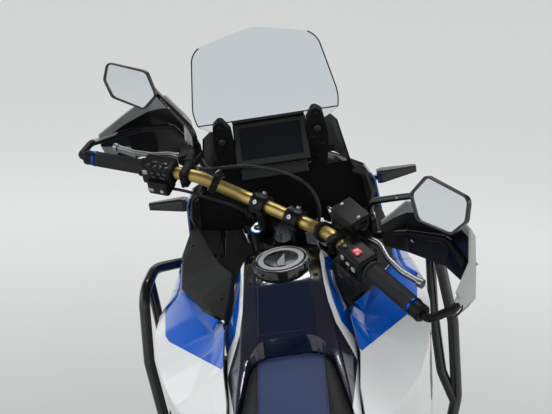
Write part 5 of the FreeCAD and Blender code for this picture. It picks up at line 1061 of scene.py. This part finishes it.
# %% Switch keys
SWITCH, PERCH = 226, 263  # from the bar's tip
KEYS = {
    "button_black": [
        (1, "top", 12, -18, 0.8, 0.7), (1, "top", 26, -18, 0.8, 0.7), (1, "top", 40, -18, 0.8, 0.7),
        (1, "top", 56, -17, 1.0, 0.8), (1, "top", 20, -6, 1.1, 0.8), (1, "top", 46, -6, 1.3, 0.8),
        (1, "rear", 14, 14, 0.9, 0.8), (1, "rear", 28, 14, 0.9, 0.8), (1, "rear", 44, 14, 0.9, 0.8),
        (1, "rear", 20, 2, 1.3, 0.8), (1, "rear", 42, 2, 1.0, 0.8), (-1, "rear", 40, -6, 0.9, 0.7),
        (-1, "lobe", 28, -26, 1.2, 0.9), (-1, "top", 16, -12, 1.0, 0.8)],
    "button_grey": [
        (1, "rear", 62, 12, 1.1, 1.1), (1, "lobe", 50, -28, 1.4, 0.7), (-1, "rear", 24, 12, 0.9, 0.9),
        (-1, "rear", 40, 6, 1.0, 0.5), (-1, "rear", 56, 2, 1.0, 1.0)],
    "button_red": [(-1, "top", 44, -4, 2.0, 1.5)],
    "bolt_steel": [(1, "lobe", 22, -28, 0.9, 0.9)],
}
FACES = {"top": (0, 0, 1), "rear": (-1, 0, 0), "lobe": (-1, 0, 0)}
for look, keys in KEYS.items():
    rows = []
    for s, face, out, across, long, wide in keys:
        spot = {"top": (across, out, 25.6), "rear": (-25.6, out, across), "lobe": (-37.6, out, across)}[face]
        rows.append(spot_of(on_bar(SWITCH, s), spot, FACES[face], (0, 1, 0), (long, wide, 0.8)))
    repeat(look + "_keys", KEY, rows, look, "steering")
white_mark = [spot_of(on_bar(SWITCH, -1), (-7, 50, 28.1), (0, 0, 1), (0, 1, 0), (0.6, 0.5, 0.12))]
repeat("stop_switch_mark", KEY, white_mark, "button_grey", "steering")
rows = [spot_of(on_bar(SWITCH, s), (x, 38, z), (x, 0, z), (0, 1, 0)) for s in (1, -1)
        for x, z in ((14, -27), (-30, -41))]
repeat("switch_screws", BUTTON_BOLT, rows, "bolt_steel", "steering")

# %% [markdown]
# Bolts hold the bar's clamps, the perches, the guards and the lid of the reservoir. The ignition lock has a
# blue ring.

# %% Bolts of the steering
rows = [spot_of(BAR, (x * 15.5, s * 47, 938.5), (x * 0.62, 0, 0.78), (0, 1, 0))
        for s in (-1, 1) for x in (-1, 1)]
repeat("riser_bolts", SOCKET_BOLT, rows, "bolt_steel", "steering")
rows = [spot_of(BAR, (-0.5, s * 67, 816), size=(0.9, 0.9, 0.9)) for s in (-1, 1)]
rows += [spot_of(on_bar(PERCH, s), (-23, 10, z), (-1, 0, 0), (0, 1, 0), (0.8, 0.8, 0.8))
         for s in (-1, 1) for z in (12, -12)]
rows += [spot_of(BAR, (62.6, s * 105, z), (30.6, 0, 0.01), (0, 1, 0), (0.9, 0.9, 0.9))
         for s in (-1, 1) for z in (12, 40)]
repeat("steering_bolts", SOCKET_BOLT, rows, "dark_bolt", "steering")
rows = [spot_of(on_bar(PERCH, -1), (42, y, 52), size=(0.8, 0.8, 0.8)) for y in (-24, 30)]
rows += [spot_of(BAR, (x, s * y, z), (-1, 0, 0), (0, 1, 0))
         for x, y, z in ((60, 300, 930), (57, 446, 946)) for s in (-1, 1)]
repeat("guard_and_reservoir_screws", BUTTON_BOLT, rows, "bolt_steel", "steering")
LOCK = BAR @ Matrix.Translation((-16, 58, 854))
lock_ring = lathe("lock_ring", [(9.5, -1), (15, -1), (15.5, 0), (15, 1.6), (9.5, 1.6)], LOCK, 40)
lock_slot = rounded_box("lock_slot", (2.2, 9, 2), 0.4, LOCK @ Matrix.Translation((0, 0, 0.6)))
piece("key_lock", joined("key_lock", [lock_ring, lock_slot]), "steering", "bolt_steel")
lock_rim = lathe("lock_rim", [(15.4, -1.5), (17.2, -1.5), (17.2, 0.8), (15.4, 0.8)], LOCK, 40)
piece("key_lock_glow_ring", lock_rim, "steering", "blue_anodised")

# %% [markdown]
# A bright collar joins each hose to what it serves.

# %% Hose and cable fittings
fittings = [spot_of(on_bar(PERCH, -1), (44, -71, 0), (0, 1, 0), size=(1.3, 1.3, 2.2)),
            spot_of(on_bar(PERCH, 1), (24, -5, 0), (0, 1, 0), size=(1.3, 1.3, 2.0))]
for s in (-1, 1):
    fittings.append(spot_of(BAR, (46, s * 19, 586), (0, s, 0), size=(1.1, 1.1, 1.6)))
    fittings.append(spot_of(BAR, (-62, s * 64, 142), size=(1.2, 1.2, 1.8)))
repeat("hose_fittings", ROUND, fittings, "bolt_steel", "steering")

# %% [markdown]
# ## Tank top and cockpit
# The tank's flat centre panel is a thin plate that follows the paint below it. Rays cast down onto the
# finished tank find its height. The cap has six screws, and the display head has its keys and knobs.

# %% Plate on the tank


def surface_of(made):
    """A tree for casting rays at a piece as it will be drawn, with its bevels."""
    return BVHTree.FromObject(made, bpy.context.evaluated_depsgraph_get())


def drop_onto(tree, x, y, start=1300):
    """The surface point under a place of the chassis frame, in mm there."""
    origin = CHASSIS @ Vector((x, y, start))
    hit, normal, _, _ = tree.ray_cast(origin, -up)
    if hit is None:
        return None, None
    back = CHASSIS.inverted()
    direction = (back.to_3x3() @ normal).normalized()
    return back @ hit, direction


tank = surface_of(dressed["fuel_tank"])


def plate(name, outline, tree, wall, look, steps=(26, 22)):
    """A thin plate over the surface under it; outline is its half width at two places along x."""
    (xa, ya), (xb, yb) = outline
    work = bmesh.new()
    grid = []
    for i in range(steps[0] + 1):
        row = []
        for j in range(steps[1] + 1):
            s, t = i / steps[0], 2 * j / steps[1] - 1
            spot, direction = drop_onto(tree, xa + (xb - xa) * s, (ya + (yb - ya) * s) * t)
            row.append((spot - direction * 0.4, spot + direction * wall))
        grid.append(row)
    layers = [[[work.verts.new(spot[level]) for spot in row] for row in grid] for level in (0, 1)]
    for i in range(steps[0]):
        for j in range(steps[1]):
            for level, layer in enumerate(layers):
                ring = [layer[i][j], layer[i + 1][j], layer[i + 1][j + 1], layer[i][j + 1]]
                work.faces.new(ring if level else ring[::-1])
    edge = [(i, 0) for i in range(steps[0])] + [(steps[0], j) for j in range(steps[1])]
    edge += [(i, steps[1]) for i in range(steps[0], 0, -1)] + [(0, j) for j in range(steps[1], 0, -1)]
    for (i, j), (k, m) in zip(edge, edge[1:] + edge[:1]):
        work.faces.new((layers[0][i][j], layers[0][k][m], layers[1][k][m], layers[1][i][j]))
    made = piece(name, shape(name, work, CHASSIS, 40), "frame", look)
    soften(made, 0.6, 50)


plate("tank_centre_panel", ((796, 56), (878, 50)), tank, 1.6, "navy_paint")

# %% [markdown]
# Six screws hold the ring round the cap. Where a fastener sits on a curved cover, a ray finds its height.

# %% Cap screws, surround fasteners and panel fasteners
turns = [radians(30 + k * 60) for k in range(6)]
rows = [spot_of(CAP, (53 * cos(a), 53 * sin(a), 0), size=(0.75, 0.75, 0.75)) for a in turns]
repeat("cap_ring_screws", BUTTON_BOLT, rows, "dark_bolt", "frame")
piece("cap_surround_ring", lathe("surround", [(48.9, -0.5), (57.5, -0.5), (57.5, 0.9), (56.5, 1.5), (50, 1.5),
                                               (48.9, 0.9)], CAP, 72), "frame", "gloss_black")
rows = []
for tree, places, size in (
        (tank, ((898, 66), (898, -66), (1000, 62), (1000, -62)), 1.1),
        (surface_of(dressed["inner_panels"]), ((906, 129), (906, -129), (1190, 214), (1190, -214)), 1.2)):
    for x, y in places:
        spot, direction = drop_onto(tree, x, y)
        if spot is not None:
            rows.append(spot_of(CHASSIS, spot, direction, size=(size, size, 1.0)))
repeat("panel_fasteners", BUTTON_BOLT, rows, "dark_bolt", "frame")

# %% [markdown]
# The display has keys under its glass, and the two towers beside it have knobs and screws.

# %% Display keys, tower knobs and screws
HEAD = CHASSIS @ Matrix.Translation((1254, 0, 1262)) @ Matrix.Rotation(radians(33), 4, "Y")
rows = [spot_of(HEAD, (13.5, y, -64), (-1, 0, 0), (0, 1, 0), (1.6, 0.5, 0.3)) for y in (-52, -26, 0, 26, 52)]
repeat("dash_lower_keys", KEY, rows, "button_black", "frame")
TOWER = CHASSIS @ Matrix.Translation((1292, 0, 1196)) @ Matrix.Rotation(radians(-17), 4, "Y")
rows = [spot_of(TOWER, (-32.5, s * 110, 96), (-1, 0, 0), (0, 1, 0), (1.5, 1.5, 0.8)) for s in (-1, 1)]
repeat("tower_knobs", ROUND, rows, "button_black", "frame")
rows = [spot_of(TOWER, (-24, s * y, z), (-1, 0, 0), (0, 1, 0), (1, 1, 1))
        for s in (-1, 1) for y, z in ((112, 128), (100, 20), (116, 50), (98, 70))]
repeat("tower_screws", BUTTON_BOLT, rows, "dark_bolt", "frame")

# %% [markdown]
# ## Seats
# The seat solids are firm blocks. Foam under a tight cover swells a little between its seams, so a copy is
# remeshed evenly, its underside and seam lines are held, and a short cloth simulation presses it outwards.
# The result is kept within a few millimetres of the solid.

# %% Padding by cloth simulation
SWELL = 0.004
VOXEL = 0.0055


def padding(node):
    """A seat's cover, swollen a little over its foam."""
    made = bpy.data.objects.new(node + "_pad", clean_copy(node))
    scene.collection.objects.link(made)
    grid = made.modifiers.new("even mesh", "REMESH")
    grid.mode = "VOXEL"
    grid.voxel_size = VOXEL
    grid.use_smooth_shade = True
    relax = made.modifiers.new("relax", "SMOOTH")
    relax.factor = 0.5
    relax.iterations = 4
    even = baked(made)
    made.modifiers.clear()
    made.data = even
    back = CHASSIS.inverted()
    local = [back @ vertex.co for vertex in even.vertices]
    held = made.vertex_groups.new(name="held")
    for index, spot in enumerate(local):
        weight = 1.0 if even.vertices[index].normal.dot(up) < -0.3 else 0.0
        if abs(abs(spot.y) - SEAM) < 3.5 and even.vertices[index].normal.dot(up) > 0.3:
            weight = 1.0
        if weight:
            held.add([index], weight, "REPLACE")
    cloth = made.modifiers.new("cover", "CLOTH")
    for name, value in (
            ("quality", 6), ("mass", 0.3), ("tension_stiffness", 20), ("compression_stiffness", 20),
            ("bending_stiffness", 2), ("use_pressure", True), ("uniform_pressure_force", 4),
            ("vertex_group_mass", "held")):
        setattr(cloth.settings, name, value)
    cloth.settings.effector_weights.gravity = 0
    cloth.point_cache.frame_start = 1
    cloth.point_cache.frame_end = 20
    for step in range(1, 21):
        scene.frame_set(step)
    swollen = baked(made)
    moves = []
    for vertex, after in zip(even.vertices, swollen.vertices):
        move = after.co - vertex.co
        moves.append(move.length)
        if move.length > SWELL:
            move *= SWELL / move.length
        vertex.co += move
    print(node, "swells by", round(max(moves) * 1000, 1), "mm before the cap")
    made.modifiers.clear()
    scene.frame_set(1)
    finer = made.modifiers.new("finer", "SUBSURF")
    finer.levels = finer.render_levels = 1
    final = baked(made)
    bpy.data.objects.remove(made)
    final.name = node + "_cover"
    smooth(final, 80)
    pad = piece(node + "_cover", final, body_of(node), "seat_vinyl", [node])
    return pad


rider = padding("rider_seat")
pillion = padding("passenger_seat")

# %% [markdown]
# A welt runs between the centre and the side panels, with a row of stitches on each side.

# %% Welts and stitches
STITCH = sweep("stitch", [(-2.0, 0, 0), (-1.2, 0, 0.35), (1.2, 0, 0.35), (2.0, 0, 0)], 0.42, SMALL, 5)
welts, stitches = [], []
for pad, start, end in ((rider, 362, 772), (pillion, -12, 336)):
    tree = surface_of(pad)
    for s in (-1, 1):
        line_points = []
        x = start
        while x <= end:
            spot, direction = drop_onto(tree, x, s * SEAM)
            if spot is not None:
                line_points.append(spot + direction * 0.3)
            x += 6
        welts.append(sweep("welt", line_points, 1.3, CHASSIS, 8))
        for offset in (-4, 4):
            x = start + 4
            while x <= end - 4:
                spot, direction = drop_onto(tree, x, s * SEAM + offset)
                if spot is not None and direction.z > 0.2:
                    ahead_spot, _ = drop_onto(tree, x + 2, s * SEAM + offset)
                    along = (ahead_spot - spot) if ahead_spot is not None else Vector((1, 0, 0))
                    stitches.append(spot_of(CHASSIS, spot + direction * 0.15, direction, along))
                x += 6.2
piece("seat_welts", joined("seat_welts", welts), "frame", "piping")
repeat("seat_stitches", STITCH, stitches, "thread", "frame")
print("stitches", len(stitches))

# %% [markdown]
# ## Edge of the screen
# The polished edge of a clear sheet gathers light from the whole pane and looks like a dark line. A thin dark
# bead along the sides and top of the pane gives that line as painted shade.

# %% Bead along the pane
pane = dressed["windscreen"].data
rim = [face for face in pane.polygons if is_rim(None, None, face) and face.normal.dot(up) > -0.35]
middle = sum((face.center for face in rim), Vector()) / len(rim)
across = left
along_pane = pane_axis.cross(across).normalized()


def turn_about_pane(face):
    arm = face.center - middle
    return atan2(arm.dot(across), arm.dot(along_pane))


rim.sort(key=turn_about_pane)
gaps = [(turn_about_pane(b) - turn_about_pane(a)) % (2 * pi) for a, b in zip(rim, rim[1:] + rim[:1])]
first = gaps.index(max(gaps)) + 1
rim = rim[first:] + rim[:first]
piece("screen_edge", sweep("screen_edge", [face.center * 1000 for face in rim], 1.5, SMALL, 8), "frame",
      "painted_edge_shade")
print("rim faces", len(rim))

# %% [markdown]
# ## Engine, radiators and lamps
# Cover bolts stand round the engine covers, fins cross the radiator cores, and behind each lamp's clear lens
# are a black liner and bright bowls.

# %% Engine cover bolts
rows = []
for x, z, y, radius, count in ((770, 450, 118, 79, 8), (720, 440, -144, 91, 9), (830, 430, -126, 57, 6)):
    rows += round_axle(CHASSIS, radius, y, count, 0.3, x, z)
repeat("engine_cover_bolts", SOCKET_BOLT, rows, "bolt_steel", "frame")
SLAT = rounded_box("slat", (1.2, 82, 0.8), 0)
lean = Matrix.Rotation(radians(6), 3, "Y")
rows = [spot_of(CHASSIS, Vector((1016, s * 116, 596)) + lean @ Vector((x, s * 56, 6 + k * 3.9)))
        for s in (-1, 1) for k in range(58) for x in (-13.4, 13.4)]
repeat("radiator_fins", SLAT, rows, "black_alloy", "frame")

# %% [markdown]
# Two bright bowls stand side by side in front of a black liner.

# %% Lamp insides
BOWL = [(6, -16), (18.2, -8), (26, 4), (28, 4), (19.5, -11), (7, -20)]
forwards = Matrix.Rotation(radians(90), 4, "Y")
bowls = [lathe("bowl", BOWL, CHASSIS @ Matrix.Translation((1452, y, 1036)) @ forwards, 40) for y in (44, -44)]
piece("lamp_bowls", joined("lamp_bowls", bowls), "frame", "chrome")
liner = rounded_box("liner", (70, 150, 60), 6, CHASSIS @ Matrix.Translation((1400, 0, 1034)))
piece("lamp_liner", joined("lamp_liner", [liner]), "frame", "liner_black")
